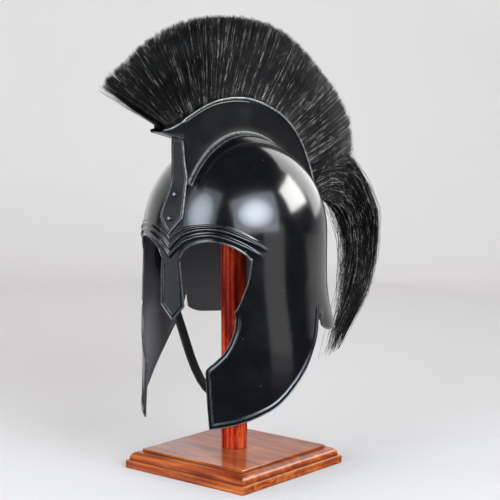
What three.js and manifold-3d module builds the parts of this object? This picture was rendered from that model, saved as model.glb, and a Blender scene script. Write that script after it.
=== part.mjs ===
// Greek helmet with brow ridges, nose guard, long cheek guards and a raised horsehair crest,
// resting on its wooden stand. Millimetres, +Z up, face towards -Y, wearer's left towards +X,
// origin at the middle of the stand's underside.
import * as THREE from 'three';
import { mergeVertices } from 'three/addons/utils/BufferGeometryUtils.js';
import Module from 'manifold-3d';

const wasm = await Module();
wasm.setup();

// Clearance between neighbouring pieces
const GAP = 0.3;

// Stand
const BASE_WIDTH = 178;
const BASE_TOP_WIDTH = 150;
const PLINTH_HEIGHT = 9.5;
const MOULDING_HEIGHT = 9.6;
const TOP_PLATE_HEIGHT = 3;
const MOULDING_STEP = 1.6;
const POST_DIAMETER = 30;
const POST_LENGTH = 358.5;

// Shell: the temple line is the level where the dome starts to close
const WALL = 1.5;
const HELMET_WIDTH = 216;
const HELMET_LENGTH = 226;
const DOME_HEIGHT = 112;
const SKIRT_DEPTH = 204.5;
const RIDGE_HEIGHT = 2.2;
const GROOVE_HEIGHT = 0.4;
const EDGE_HEIGHT = 0.8;
const BEAD_HEIGHT = 1;
const BEAD_SPACING = 2;
const NECK_FLARE = 10;
const NOSE_LENGTH = 69;
const NOSE_POINT = 17;
const NOSE_SPREAD = 1.27;
const NOSE_BORDER = 0.7;
const NOSE_SLOPE = 0.05;

// Crest holder
const SHEET = 1.2;
const CREST_RISE = 42;
const FOOT_WIDTH = 24;
const RIM_WIDTH = 19;
const FOOT_FLANGE = 5;
const FOOT_ROLL = 2;
const RIM_ROLL = 0.8;
const RIM_ROLL_HEIGHT = 2.2;
const PROW_LENGTH = 33.5;
const PROW_RISE = 8.5;

// Front strap and its rivets
const STRAP_PLATE = 1.5;
const STRAP_TOP_WIDTH = 17;
const STRAP_BORDER = 3.4;
const STRAP_RELIEF = 0.7;
const STRAP_SEAT = GAP * 1.5;
const RIVET_HEAD = 6.5;
const RIVET_DOME = 2.4;
const RIVET_SHANK = 3;

// Chin strap
const LEATHER = 2.5;
const CHIN_STRAP_WIDTH = 13;
const CHIN_STRAP_DROP = 165;
const CHIN_STRAP_AZIMUTH = 75.5;
const CHIN_STRAP_LEVEL = -22;
const CHIN_PIN_DROP = 7;
const CHIN_POST_CLEARANCE = 5;

// Plume
const HAIR_LENGTH = 92;
const TAIL_DROP = 150;
const PLUME_SWELL = 5;
const CREST_LOCKS = 17;
const TAIL_LOCKS = 5;
const HAIR_LIFT = 4;

// Levels of the helmet above the floor, worked out from what carries it
const BASE_HEIGHT = PLINTH_HEIGHT + MOULDING_HEIGHT + TOP_PLATE_HEIGHT;
const POST_TOP = BASE_HEIGHT + GAP + POST_LENGTH;

// Cross-sections of the shell from the temple line down. depth is a share of SKIRT_DEPTH, side
// of half the width, front and back of half the length; power shapes the outline, 2 is an ellipse.
const SECTIONS = [
  { depth: 0, side: 0.935, front: 0.947, back: 1.018, power: 2 },
  { depth: 0.205, side: 0.94, front: 0.947, back: 1.009, power: 2 },
  { depth: 0.4, side: 0.963, front: 0.951, back: 1, power: 1.95 },
  { depth: 0.595, side: 0.995, front: 0.965, back: 0.991, power: 1.88 },
  { depth: 0.79, side: 1, front: 0.991, back: 0.991, power: 1.82 },
  { depth: 1.01, side: 1, front: 1.009, back: 0.991, power: 1.8 },
];

// Brow lines by azimuth in degrees from the face: the opening's edge, the two ridges and the line
// where the dome starts, as heights over the eye's outer corner in shares of DOME_HEIGHT.
const BROW = [
  { azimuth: 0, edge: 0, ridge: 0.026, crown: 0.102, top: 0.188 },
  { azimuth: 3, edge: 0, ridge: 0.082, crown: 0.155, top: 0.232 },
  { azimuth: 7.2, edge: 0, ridge: 0.136, crown: 0.217, top: 0.28 },
  { azimuth: 9.3, edge: 0.067, ridge: 0.169, crown: 0.242, top: 0.296 },
  { azimuth: 14, edge: 0.13, ridge: 0.207, crown: 0.273, top: 0.32 },
  { azimuth: 20, edge: 0.169, ridge: 0.235, crown: 0.297, top: 0.336 },
  { azimuth: 26, edge: 0.184, ridge: 0.246, crown: 0.305, top: 0.342 },
  { azimuth: 32, edge: 0.174, ridge: 0.236, crown: 0.297, top: 0.334 },
  { azimuth: 38, edge: 0.144, ridge: 0.204, crown: 0.273, top: 0.313 },
  { azimuth: 43, edge: 0.106, ridge: 0.17, crown: 0.24, top: 0.282 },
  { azimuth: 47.7, edge: 0.055, ridge: 0.132, crown: 0.208, top: 0.248 },
  { azimuth: 51.3, edge: 0, ridge: 0.099, crown: 0.179, top: 0.217 },
  { azimuth: 56.6, edge: 0, ridge: 0.053, crown: 0.136, top: 0.175 },
  { azimuth: 62, edge: 0, ridge: 0.043, crown: 0.092, top: 0.14 },
  { azimuth: 90, edge: 0, ridge: 0.053, crown: 0.111, top: 0.169 },
  { azimuth: 180, edge: 0, ridge: 0.053, crown: 0.111, top: 0.169 },
];
const NOSE_AZIMUTH = 7.2;
const RIDGE_END = { from: 48, to: 62 };

// Front edge of the eye and cheek guard: azimuth by depth below the temple line, a share of
// SKIRT_DEPTH. It has a small step at the notch and comes forward below the mouth.
const FRONT_EDGE = [
  { depth: 0.0924, azimuth: 51.3 },
  { depth: 0.11, azimuth: 50.9 },
  { depth: 0.19, azimuth: 49.5 },
  { depth: 0.274, azimuth: 46.2 },
  { depth: 0.355, azimuth: 42 },
  { depth: 0.367, azimuth: 40.7 },
  { depth: 0.386, azimuth: 41.5 },
  { depth: 0.443, azimuth: 41.2 },
  { depth: 0.514, azimuth: 39 },
  { depth: 0.585, azimuth: 34.7 },
  { depth: 0.632, azimuth: 29.6 },
  { depth: 0.686, azimuth: 24 },
  { depth: 0.784, azimuth: 24.5 },
  { depth: 0.902, azimuth: 25.4 },
  { depth: 1, azimuth: 26.3 },
];

// Rear edge of the cheek guard, from the notch under the ear to the tip
const REAR_EDGE = [
  { depth: 0.394, azimuth: 105.6 },
  { depth: 0.426, azimuth: 104.5 },
  { depth: 0.519, azimuth: 99.7 },
  { depth: 0.619, azimuth: 91.1 },
  { depth: 0.721, azimuth: 83.1 },
  { depth: 0.819, azimuth: 73.5 },
  { depth: 0.893, azimuth: 64.8 },
  { depth: 0.922, azimuth: 56 },
  { depth: 0.953, azimuth: 47.6 },
  { depth: 0.98, azimuth: 35.4 },
  { depth: 1, azimuth: 26.3 },
];

// Lower rim of the neck guard: depth by azimuth
const NECK_RIM = [
  { azimuth: 105.6, depth: 0.394 },
  { azimuth: 107, depth: 0.48 },
  { azimuth: 111, depth: 0.506 },
  { azimuth: 118, depth: 0.525 },
  { azimuth: 130, depth: 0.532 },
  { azimuth: 155, depth: 0.543 },
  { azimuth: 180, depth: 0.548 },
];

// Crest holder: foot angle over the dome from the face, and the rim's offset from the foot in
// shares of CREST_RISE
const CREST = [
  { foot: 33.3, back: -0.107, up: 1.69 },
  { foot: 43, back: -0.04, up: 1.48 },
  { foot: 54, back: -0.026, up: 1.295 },
  { foot: 66, back: 0, up: 1.16 },
  { foot: 78, back: 0, up: 1.057 },
  { foot: 91, back: 0, up: 1.005 },
  { foot: 104, back: -0.01, up: 0.995 },
  { foot: 116, back: 0, up: 1.02 },
  { foot: 128, back: 0.05, up: 1.09 },
  { foot: 139, back: 0.14, up: 1.12 },
  { foot: 149, back: 0.27, up: 1.055 },
  { foot: 158, back: 0.41, up: 0.89 },
  { foot: 166, back: 0.58, up: 0.545 },
  { foot: 172, back: 0.6, up: 0.295 },
  { foot: 176, back: 0.53, up: 0.15 },
];
const CHANNEL_SHARE = 0.3;

// Front strap: half width by place down its length, from the top of the holder's face to the point
const SPADE = [
  { down: 0, half: 1 },
  { down: 0.24, half: 1.16 },
  { down: 0.46, half: 1.42 },
  { down: 0.48, half: 1.42 },
  { down: 0.6, half: 1.6 },
  { down: 0.8, half: 1.92 },
  { down: 0.83, half: 1.9 },
];
const SPADE_POINT = 0.075;
const RIVET_PLACES = { upper: 0.59, lower: 0.838 };

// Chin strap: places down one side, across as a share of the half span, down of CHIN_STRAP_DROP
const CHIN_LOOP = [
  { across: 1, down: 0 },
  { across: 0.995, down: 0.09 },
  { across: 0.94, down: 0.19 },
  { across: 0.8, down: 0.33 },
  { across: 0.67, down: 0.47 },
  { across: 0.55, down: 0.63 },
  { across: 0.44, down: 0.77 },
  { across: 0.31, down: 0.89 },
  { across: 0.16, down: 0.97 },
  { across: 0, down: 1 },
];

// Hair of the crest: lean of the strands in degrees above level, seen from the wearer's left,
// and their length as a share of HAIR_LENGTH, by place along the rim
const HAIR = [
  { along: 0, lean: 144, length: 1 },
  { along: 0.06, lean: 137, length: 0.99 },
  { along: 0.13, lean: 122, length: 1 },
  { along: 0.21, lean: 101, length: 1 },
  { along: 0.29, lean: 80, length: 1 },
  { along: 0.39, lean: 67, length: 1.02 },
  { along: 0.51, lean: 58, length: 1 },
  { along: 0.62, lean: 42, length: 0.96 },
  { along: 0.73, lean: 27, length: 1.05 },
  { along: 0.8, lean: 24, length: 1.08 },
];

// Tail of the plume: its outer and inner lines in the middle plane, from the end of the rim, as
// shares of TAIL_DROP, and its thickness as a share of the strip that the hair grows from
const TAIL = [
  { outBack: 0.32, outUp: 0.52, inBack: 0.16, inUp: 0.08, thick: 1.2 },
  { outBack: 0.57, outUp: 0.55, inBack: 0.31, inUp: -0.01, thick: 1.5 },
  { outBack: 0.77, outUp: 0.29, inBack: 0.43, inUp: -0.16, thick: 1.6 },
  { outBack: 0.91, outUp: -0.09, inBack: 0.47, inUp: -0.34, thick: 1.6 },
  { outBack: 0.85, outUp: -0.39, inBack: 0.47, inUp: -0.53, thick: 1.5 },
  { outBack: 0.75, outUp: -0.72, inBack: 0.4, inUp: -0.76, thick: 1.1 },
  { outBack: 0.5, outUp: -0.95, inBack: 0.33, inUp: -1, thick: 0.4 },
];

// Shares of the rim where the crest's and the tail's locks are rooted
const CREST_ROOT = { from: 0.015, to: 0.84 };
const TAIL_ROOT = { from: 0.84, to: 0.99 };
const LOCK_OVERLAP = 1.24;
const BACKING = { from: 0.09, to: 0.995, steps: 18 };
const BACKING_DEPTH = 0.8;
const BACKING_TOP = 0.13;
const ROOT_DEPTH = 0.3;

// Smooth interpolation in a table: a cubic through its rows that never overshoots them
function lookUp(table, by, x, key) {
  const last = table.length - 1;
  if (x <= table[0][by]) return table[0][key];
  if (x >= table[last][by]) return table[last][key];
  const i = table.findIndex((row) => row[by] > x) - 1;
  const slope = (k) => (table[k + 1][key] - table[k][key]) / (table[k + 1][by] - table[k][by]);
  const tangent = (k) => {
    if (k === 0) return slope(0);
    if (k === last) return slope(last - 1);
    const before = slope(k - 1);
    const after = slope(k);
    return before * after <= 0 ? 0 : (2 * before * after) / (before + after);
  };
  const step = table[i + 1][by] - table[i][by];
  const t = (x - table[i][by]) / step;
  const rise = t * t * (3 - 2 * t);
  const start = t * (1 - t) * (1 - t) * step * tangent(i);
  const end = t * t * (t - 1) * step * tangent(i + 1);
  return table[i][key] * (1 - rise) + table[i + 1][key] * rise + start + end;
}

const spread = (count, from, to) =>
  Array.from({ length: count + 1 }, (_, k) => from + ((to - from) * k) / count);

// A sheet or body from triangles: equal corners are merged, and triangles left with none dropped
function meshOf(triangles) {
  const merged = mergeVertices(new THREE.BufferGeometry().setFromPoints(triangles.flat()), 1e-3);
  const corners = Array.from(merged.index.array);
  const kept = triangles.flatMap((_, i) => {
    const [a, b, c] = corners.slice(3 * i, 3 * i + 3);
    return a === b || b === c || c === a ? [] : [a, b, c];
  });
  return merged.setIndex(kept);
}

function toSolid(geometry) {
  const bare = geometry.clone();
  bare.deleteAttribute('normal');
  bare.deleteAttribute('uv');
  const merged = mergeVertices(bare, 1e-3);
  return new wasm.Manifold(new wasm.Mesh({
    numProp: 3,
    vertProperties: merged.attributes.position.array,
    triVerts: Uint32Array.from(merged.index.array),
  }));
}

function toGeometry(solid) {
  const mesh = solid.getMesh();
  const geometry = new THREE.BufferGeometry();
  geometry.setAttribute('position', new THREE.BufferAttribute(mesh.vertProperties, 3));
  geometry.setIndex(new THREE.BufferAttribute(mesh.triVerts, 1));
  return geometry;
}

// Triangles of a grid of points, facing the side where rows go up and columns go right
function gridTriangles(rows) {
  const triangles = [];
  for (let r = 0; r + 1 < rows.length; r++) {
    for (let c = 0; c + 1 < rows[r].length; c++) {
      triangles.push([rows[r][c], rows[r][c + 1], rows[r + 1][c + 1]]);
      triangles.push([rows[r][c], rows[r + 1][c + 1], rows[r + 1][c]]);
    }
  }
  return triangles;
}

function mirrored(triangles) {
  const flip = (p) => new THREE.Vector3(-p.x, p.y, p.z);
  return triangles.map(([a, b, c]) => [flip(a), flip(c), flip(b)]);
}

// Edges of a sheet that only one triangle uses, in that triangle's direction
function openEdges(index) {
  const edges = new Map();
  for (let i = 0; i < index.length; i += 3) {
    for (let k = 0; k < 3; k++) {
      const a = index[i + k];
      const b = index[i + ((k + 1) % 3)];
      if (!edges.delete(`${b},${a}`)) edges.set(`${a},${b}`, [a, b]);
    }
  }
  return [...edges.values()];
}

// Corners of a sheet moved along its normals
function offsetCorners(sheet, distance) {
  sheet.computeVertexNormals();
  const { position, normal } = sheet.attributes;
  return Array.from({ length: position.count }, (_, i) =>
    new THREE.Vector3().fromBufferAttribute(position, i)
      .addScaledVector(new THREE.Vector3().fromBufferAttribute(normal, i), distance));
}

// Closed wall from a sheet, between two distances along its normals
function wallFrom(sheet, inside, outside) {
  const inner = offsetCorners(sheet, inside);
  const outer = offsetCorners(sheet, outside);
  const index = Array.from(sheet.index.array);
  const triangles = [];
  for (let i = 0; i < index.length; i += 3) {
    const [a, b, c] = index.slice(i, i + 3);
    triangles.push([outer[a], outer[b], outer[c]], [inner[a], inner[c], inner[b]]);
  }
  for (const [a, b] of openEdges(index)) {
    triangles.push([outer[b], outer[a], inner[a]], [outer[b], inner[a], inner[b]]);
  }
  return meshOf(triangles);
}

// Solid through closed rings of the same number of points, with flat ends
function loft(rings) {
  const triangles = gridTriangles(rings.map((ring) => [...ring, ring[0]]));
  const cap = (ring, flip) => {
    const middle = ring.reduce((sum, p) => sum.add(p), new THREE.Vector3()).divideScalar(ring.length);
    const normal = new THREE.Vector3();
    ring.forEach((p, i) => {
      const q = ring[(i + 1) % ring.length];
      normal.add(new THREE.Vector3().crossVectors(p.clone().sub(middle), q.clone().sub(middle)));
    });
    normal.normalize();
    const u = ring[0].clone().sub(middle).normalize();
    const v = new THREE.Vector3().crossVectors(normal, u);
    const flat = ring.map((p) => {
      const arm = p.clone().sub(middle);
      return new THREE.Vector2(arm.dot(u), arm.dot(v));
    });
    for (const [a, b, c] of THREE.ShapeUtils.triangulateShape(flat, [])) {
      triangles.push(flip ? [ring[a], ring[c], ring[b]] : [ring[a], ring[b], ring[c]]);
    }
  };
  cap(rings[0], true);
  cap(rings[rings.length - 1], false);
  const solid = toSolid(meshOf(triangles));
  return solid.volume() >= 0 ? solid : toSolid(meshOf(triangles.map(([a, b, c]) => [a, c, b])));
}

// Height over the temple line of a depth given as a share of SKIRT_DEPTH
const below = (depth) => -depth * SKIRT_DEPTH;

// Radius of the bare shell at an azimuth and height
function shellRadius(azimuth, height) {
  const angle = THREE.MathUtils.degToRad(azimuth);
  const depth = Math.max(0, -height) / SKIRT_DEPTH;
  const closing = Math.sqrt(Math.max(0, 1 - (Math.max(0, height) / DOME_HEIGHT) ** 2));
  const size = (key, half) => lookUp(SECTIONS, 'depth', depth, key) * half * closing;
  const side = size('side', HELMET_WIDTH / 2);
  const length = size(Math.cos(angle) > 0 ? 'front' : 'back', HELMET_LENGTH / 2);
  const power = lookUp(SECTIONS, 'depth', depth, 'power');
  const across = Math.abs(Math.sin(angle) / side) ** power;
  const along = Math.abs(Math.cos(angle) / length) ** power;
  return closing === 0 ? 0 : (across + along) ** (-1 / power);
}

// The neck guard turns outward towards its rim: depths as shares of SKIRT_DEPTH, then azimuths
const FLARE = { above: 0.15, below: 0.6, from: 98, to: 135 };
function neckFlare(azimuth, height) {
  const reach = THREE.MathUtils.smoothstep(-height / SKIRT_DEPTH, FLARE.above, FLARE.below);
  return NECK_FLARE * reach * reach * THREE.MathUtils.smoothstep(azimuth, FLARE.from, FLARE.to);
}

function shellPoint(azimuth, height, relief = 0) {
  const radius = shellRadius(azimuth, height) + neckFlare(azimuth, height) + relief;
  const angle = THREE.MathUtils.degToRad(azimuth);
  return new THREE.Vector3(radius * Math.sin(angle), -radius * Math.cos(angle), height);
}

const frontAzimuth = (height) => lookUp(FRONT_EDGE, 'depth', -height / SKIRT_DEPTH, 'azimuth');
const rearAzimuth = (height) => lookUp(REAR_EDGE, 'depth', -height / SKIRT_DEPTH, 'azimuth');
const EYE_CORNER = below(FRONT_EDGE[0].depth);
const EAR_NOTCH = below(REAR_EDGE[0].depth);
const EAR_AZIMUTH = REAR_EDGE[0].azimuth;

// Columns of the cheek guard: three beside each edge for its bead, the rest shared out between
const BEAD_STEPS = [0, 1, 2, 3];
const BEAD_ROOM = 10;
const CHEEK_SPANS = 5;
function cheekColumns(height, beads) {
  const front = frontAzimuth(height);
  const rear = rearAzimuth(height);
  const width = THREE.MathUtils.degToRad(rear - front) * (HELMET_WIDTH / 2);
  const room = Math.min(1, width / (BEAD_ROOM * BEAD_SPACING));
  const bead = width > 0 ? (BEAD_SPACING * room) / width : 0;
  const edge = BEAD_STEPS.length - 1;
  const shares = [
    ...BEAD_STEPS.map((step) => step * bead),
    ...spread(CHEEK_SPANS, edge * bead, 1 - edge * bead).slice(1, -1),
    ...BEAD_STEPS.map((step) => 1 - (edge - step) * bead),
  ];
  const raised = (k) => (k === 2 || k === shares.length - 3 ? BEAD_HEIGHT : 0);
  return shares.map((share, k) =>
    shellPoint(front + (rear - front) * share, height, beads * room * raised(k)));
}

// Nose guard: widens downwards to a pointed end, with a raised border
const NOSE_COLUMNS = [0, 0.55, 0.78, 1];
const NOSE_ROWS = 4;
function noseGuard() {
  const border = (share) => (share === 1 ? NOSE_BORDER : 0);
  const column = (share) => {
    const top = shellPoint(NOSE_AZIMUTH * share, EYE_CORNER);
    const length = NOSE_LENGTH - NOSE_POINT * share;
    return spread(NOSE_ROWS, 1, 0).map((t) => {
      const drop = length * t;
      const raised = border(share) * Math.min(1, t * NOSE_ROWS);
      const widening = 1 + (NOSE_SPREAD - 1) * Math.min(1, drop / (NOSE_LENGTH - NOSE_POINT));
      return new THREE.Vector3(top.x * widening, top.y + drop * NOSE_SLOPE - raised, top.z - drop);
    });
  };
  const columns = NOSE_COLUMNS.map(column);
  return gridTriangles(columns[0].map((_, r) => columns.map((points) => points[r])));
}

// Dome and brow: rows along the brow lines, then rings that close at the crown
const BROW_COLUMNS = [9.3, 13, 17.5, 22.5, 27.5, 32.5, 37.5, 42.5, 47.5];
const NECK_COLUMNS = [107, 110, 117, 128, 141, 154, 167, 180];
const DOME_RINGS = [0.2, 0.4, 0.6, 0.8, 1];
function dome() {
  const cheek = cheekColumns(EYE_CORNER, 0);
  const azimuthOf = (p) => THREE.MathUtils.radToDeg(Math.atan2(p.x, -p.y));
  const azimuths = [
    ...NOSE_COLUMNS.map((share) => share * NOSE_AZIMUTH),
    ...BROW_COLUMNS,
    ...cheek.map(azimuthOf),
    ...NECK_COLUMNS,
  ];
  const crownSlope = Math.acos(POST_DIAMETER / 2 / (SECTIONS[0].side * HELMET_WIDTH / 2));
  const column = (azimuth) => {
    const line = (key) => EYE_CORNER + lookUp(BROW, 'azimuth', azimuth, key) * DOME_HEIGHT;
    const strength = 1 - THREE.MathUtils.smoothstep(azimuth, RIDGE_END.from, RIDGE_END.to);
    const edge = line('edge');
    const ridge = line('ridge');
    const crown = line('crown');
    const top = line('top');
    const band = [
      shellPoint(azimuth, edge, BROW_COLUMNS.includes(azimuth) ? EDGE_HEIGHT : 0),
      shellPoint(azimuth, (edge + ridge) / 2),
      shellPoint(azimuth, ridge, RIDGE_HEIGHT * strength),
      shellPoint(azimuth, (ridge + crown) / 2, GROOVE_HEIGHT * strength),
      shellPoint(azimuth, crown, RIDGE_HEIGHT * strength),
      shellPoint(azimuth, top),
    ];
    const start = Math.asin(top / DOME_HEIGHT);
    const rings = DOME_RINGS.map((share) => {
      const slope = start + (crownSlope - start) * share;
      return shellPoint(azimuth, DOME_HEIGHT * Math.sin(slope));
    });
    return [...band, ...rings, new THREE.Vector3(0, 0, DOME_HEIGHT)];
  };
  const columns = azimuths.map(column);
  return gridTriangles(columns[0].map((_, r) => columns.map((points) => points[r])));
}

// Sides and back below the brow, cheek guards and neck guard
const SIDE_DEPTHS = [REAR_EDGE[0].depth, 0.367, 0.355, 0.274, 0.19, FRONT_EDGE[0].depth];
const LEAST_ROW = 0.018;
const NECK_ROWS = 3;
function skirt() {
  const rowAt = (depth) => {
    const height = below(depth);
    const beads = THREE.MathUtils.smoothstep(depth, SIDE_DEPTHS[2], SIDE_DEPTHS[0]);
    return [
      ...cheekColumns(height, beads),
      ...NECK_COLUMNS.map((azimuth) => shellPoint(azimuth, height)),
    ];
  };
  const sides = gridTriangles(SIDE_DEPTHS.map(rowAt));
  const edgeDepths = [...FRONT_EDGE, ...REAR_EDGE].map((row) => row.depth);
  const lower = edgeDepths.filter((depth) => depth >= SIDE_DEPTHS[0]);
  const cheekDepths = [...new Set(lower)].sort((a, b) => b - a).filter((depth, i, all) =>
    i === 0 || all[i - 1] - depth > LEAST_ROW);
  const guards = gridTriangles(cheekDepths.map((depth) => cheekColumns(below(depth), 1)));
  const neckColumns = [EAR_AZIMUTH, ...NECK_COLUMNS].map((azimuth) => {
    const rim = below(lookUp(NECK_RIM, 'azimuth', azimuth, 'depth'));
    return spread(NECK_ROWS, rim, EAR_NOTCH).map((height) => shellPoint(azimuth, height));
  });
  const neck = gridTriangles(neckColumns[0].map((_, r) => neckColumns.map((points) => points[r])));
  return [...sides, ...guards, ...neck];
}

// Body of the dome grown by the clearance, used to seat what stands on it
function domeCutter() {
  const half = dome();
  const sheet = meshOf([...half, ...mirrored(half)]);
  const corners = offsetCorners(sheet, GAP);
  const middle = new THREE.Vector3(0, 0, -SKIRT_DEPTH / 3);
  const index = Array.from(sheet.index.array);
  const triangles = [];
  for (let i = 0; i < index.length; i += 3) {
    triangles.push(index.slice(i, i + 3).map((k) => corners[k]));
  }
  for (const [a, b] of openEdges(index)) triangles.push([corners[b], corners[a], middle]);
  return toSolid(meshOf(triangles));
}

// Points of the dome's middle line, and stations of the crest holder over them
function crestStations() {
  const half = (angle) =>
    lookUp(SECTIONS, 'depth', 0, angle < 90 ? 'front' : 'back') * (HELMET_LENGTH / 2);
  const stations = CREST.map(({ foot, back, up }) => {
    const angle = THREE.MathUtils.degToRad(foot);
    const base = new THREE.Vector2(-half(foot) * Math.cos(angle), DOME_HEIGHT * Math.sin(angle));
    const normal = new THREE.Vector2(-Math.cos(angle) / half(foot), Math.sin(angle) / DOME_HEIGHT);
    const rim = base.clone().add(new THREE.Vector2(back, up).multiplyScalar(CREST_RISE));
    const reach = rim.distanceTo(base);
    const rise = rim.clone().sub(base).divideScalar(reach);
    return { base, rim, rise, reach, lean: rise.dot(normal.normalize()), floor: reach * CHANNEL_SHARE };
  });
  return stations;
}

// Prow stations in front of the holder's face: the rim runs down to meet the rising floor
const PROW_STEPS = 3;
const PROW_CURVE = 1.15;
function prowStations(first) {
  const face = first.rim.clone().addScaledVector(first.rise, -first.floor);
  return spread(PROW_STEPS, 1, 0).map((share) => {
    const y = face.x - PROW_LENGTH * share + SHEET * (1 - share);
    const floor = face.y + PROW_RISE * share;
    const rim = THREE.MathUtils.lerp(first.rim.y, floor + RIM_ROLL_HEIGHT, share ** PROW_CURVE);
    return { rim: new THREE.Vector2(y, rim), rise: new THREE.Vector2(0, 1), floor: rim - floor };
  });
}

const sectionPoint = (station, x, drop) =>
  new THREE.Vector3(x, station.rim.x - station.rise.x * drop, station.rim.y - station.rise.y * drop);

// Right half of the rim's rolled edge and the inside of the channel, from outside to inside
function rimPoints(station) {
  const half = RIM_WIDTH / 2;
  return [
    [half, Math.min(RIM_ROLL_HEIGHT, station.floor)],
    [half + RIM_ROLL, RIM_ROLL_HEIGHT - RIM_ROLL],
    [half + RIM_ROLL, RIM_ROLL_HEIGHT / 4],
    [half, 0],
    [half - SHEET, 0],
    [half - SHEET, station.floor],
  ];
}

const bothSides = (points) => [...points, ...points.map(([x, drop]) => [-x, drop]).reverse()];

// Legs of the holder stand on the dome with a turned-out foot; the dome's clearance trims them
const LEAST_LEAN = 0.4;
const FOOT_UNDER = SHEET * 3;
function holderRing(station) {
  const foot = FOOT_WIDTH / 2;
  const sag = (x) => (x * x) / HELMET_WIDTH;
  const top = (x) => station.reach - (GAP + SHEET - sag(x)) / Math.max(LEAST_LEAN, station.lean);
  const under = station.reach + FOOT_UNDER;
  const edge = foot + FOOT_FLANGE;
  const outer = [[edge, under], [edge, top(edge)], [foot, top(foot) - FOOT_ROLL]];
  const right = [...outer, ...rimPoints(station)];
  const floor = station.floor + SHEET;
  const inside = RIM_WIDTH / 2 - SHEET;
  const hollow = [
    [-(foot - SHEET), under],
    [-inside, floor],
    [inside, floor],
    [foot - SHEET, under],
  ];
  return [...bothSides(right), ...hollow].map(([x, drop]) => sectionPoint(station, x, drop));
}

function prowRing(station) {
  const half = RIM_WIDTH / 2;
  const points = bothSides([[half, station.floor + SHEET], ...rimPoints(station)]);
  return points.map(([x, drop]) => sectionPoint(station, x, drop));
}

function crestHolder(stations, prow, cutter) {
  const first = stations[0];
  const legs = loft(stations.map(holderRing));
  const spout = loft(prow.map(prowRing));
  const foot = FOOT_WIDTH / 2;
  const inset = SHEET * 0.1;
  const under = first.reach + FOOT_UNDER;
  const over = first.floor + SHEET / 2;
  const rim = RIM_WIDTH / 2 - inset;
  const faceRing = (shift) => [[foot - inset, under], [rim, over], [-rim, over], [-(foot - inset), under]]
    .map(([x, drop]) => sectionPoint(first, x, drop).add(new THREE.Vector3(0, shift, 0)));
  const face = loft([faceRing(0), faceRing(SHEET)]);
  return toGeometry(legs.add(spout).add(face).subtract(cutter));
}

// Front strap: on the holder's leaning face above, on the dome below, its lower end a pointed spade
function strapSurface(x, height, faceAt) {
  const onDome = height < DOME_HEIGHT ? domeDepth(x, height) : 0;
  return Math.min(faceAt(height), -onDome) - STRAP_SEAT;
}

// Distance of the dome in front of the middle plane at a place across and up
function domeDepth(x, height) {
  const side = SECTIONS[0].side * (HELMET_WIDTH / 2);
  const front = SECTIONS[0].front * (HELMET_LENGTH / 2);
  const rest = 1 - (x / side) ** 2 - (Math.max(0, height) / DOME_HEIGHT) ** 2;
  return front * Math.sqrt(Math.max(0, rest));
}

function strapFrame(stations) {
  const { base, rim, floor } = stations[0];
  const top = rim.y - floor - SHEET * 2;
  const lean = (rim.x - base.x) / (rim.y - base.y);
  const faceAt = (height) => base.x + lean * (height - base.y);
  return { top, length: top - SPADE_POINT * DOME_HEIGHT, faceAt };
}

function frontStrap(stations) {
  const { top, length, faceAt } = strapFrame(stations);
  const halfAt = (down) => lookUp(SPADE, 'down', down, 'half') * (STRAP_TOP_WIDTH / 2);
  const wide = SPADE[SPADE.length - 1];
  const downs = [...spread(3, 1, wide.down), ...spread(9, wide.down, 0).slice(1)];
  const rowAt = (down) => {
    const half = halfAt(Math.min(down, wide.down));
    const inner = half - STRAP_BORDER;
    const right = [
      { x: 0, raised: 0 },
      { x: inner - STRAP_RELIEF, raised: 0 },
      { x: inner, raised: STRAP_RELIEF },
      { x: half, raised: STRAP_RELIEF },
    ];
    const left = right.slice(1).reverse().map(({ x, raised }) => ({ x: -x, raised }));
    return [...left, ...right].map(({ x, raised }) => {
      const spare = Math.max(0, down - wide.down);
      const lower = Math.min(down, wide.down) + spare * (1 - Math.abs(x) / half);
      const height = top - length * lower;
      const relief = down === 0 ? STRAP_RELIEF : raised;
      return new THREE.Vector3(x, strapSurface(x, height, faceAt) - relief, height);
    });
  };
  return wallFrom(meshOf(gridTriangles(downs.map(rowAt))), 0, STRAP_PLATE);
}

// Place and direction of a rivet through the spade and the shell
function rivetPlace(stations, share) {
  const { top, length, faceAt } = strapFrame(stations);
  const height = top - length * share;
  const step = 1;
  const depthAt = (level) => strapSurface(0, level, faceAt);
  const slope = (depthAt(height + step) - depthAt(height - step)) / (2 * step);
  return {
    at: new THREE.Vector3(0, depthAt(height), height),
    axis: new THREE.Vector3(0, -1, slope).normalize(),
  };
}

const RIVET_SIDES = 12;
// Domed rivet, turned about its axis from the head's top to the end of the shank
function rivet(shankLength) {
  const head = RIVET_HEAD / 2;
  const profile = [
    [0, -shankLength],
    [RIVET_SHANK / 2, -shankLength],
    [RIVET_SHANK / 2, 0],
    [head, 0],
    [head * 0.92, RIVET_DOME * 0.45],
    [head * 0.6, RIVET_DOME * 0.84],
    [0, RIVET_DOME],
  ];
  const points = profile.map(([r, z]) => new THREE.Vector2(r, z));
  const geometry = new THREE.LatheGeometry(points, RIVET_SIDES);
  return geometry.rotateX(Math.PI / 2);
}

const PIN_CUT = (WALL + STRAP_PLATE + LEATHER) * 3;
function pinCutter(length) {
  const radius = RIVET_SHANK / 2 + GAP;
  const geometry = new THREE.CylinderGeometry(radius, radius, length, RIVET_SIDES);
  return geometry.rotateX(Math.PI / 2);
}

const UP = new THREE.Vector3(0, 0, 1);
function placed(geometry, at, axis) {
  const turn = new THREE.Quaternion().setFromUnitVectors(UP, axis);
  return geometry.applyQuaternion(turn).translate(at.x, at.y, at.z);
}

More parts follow.
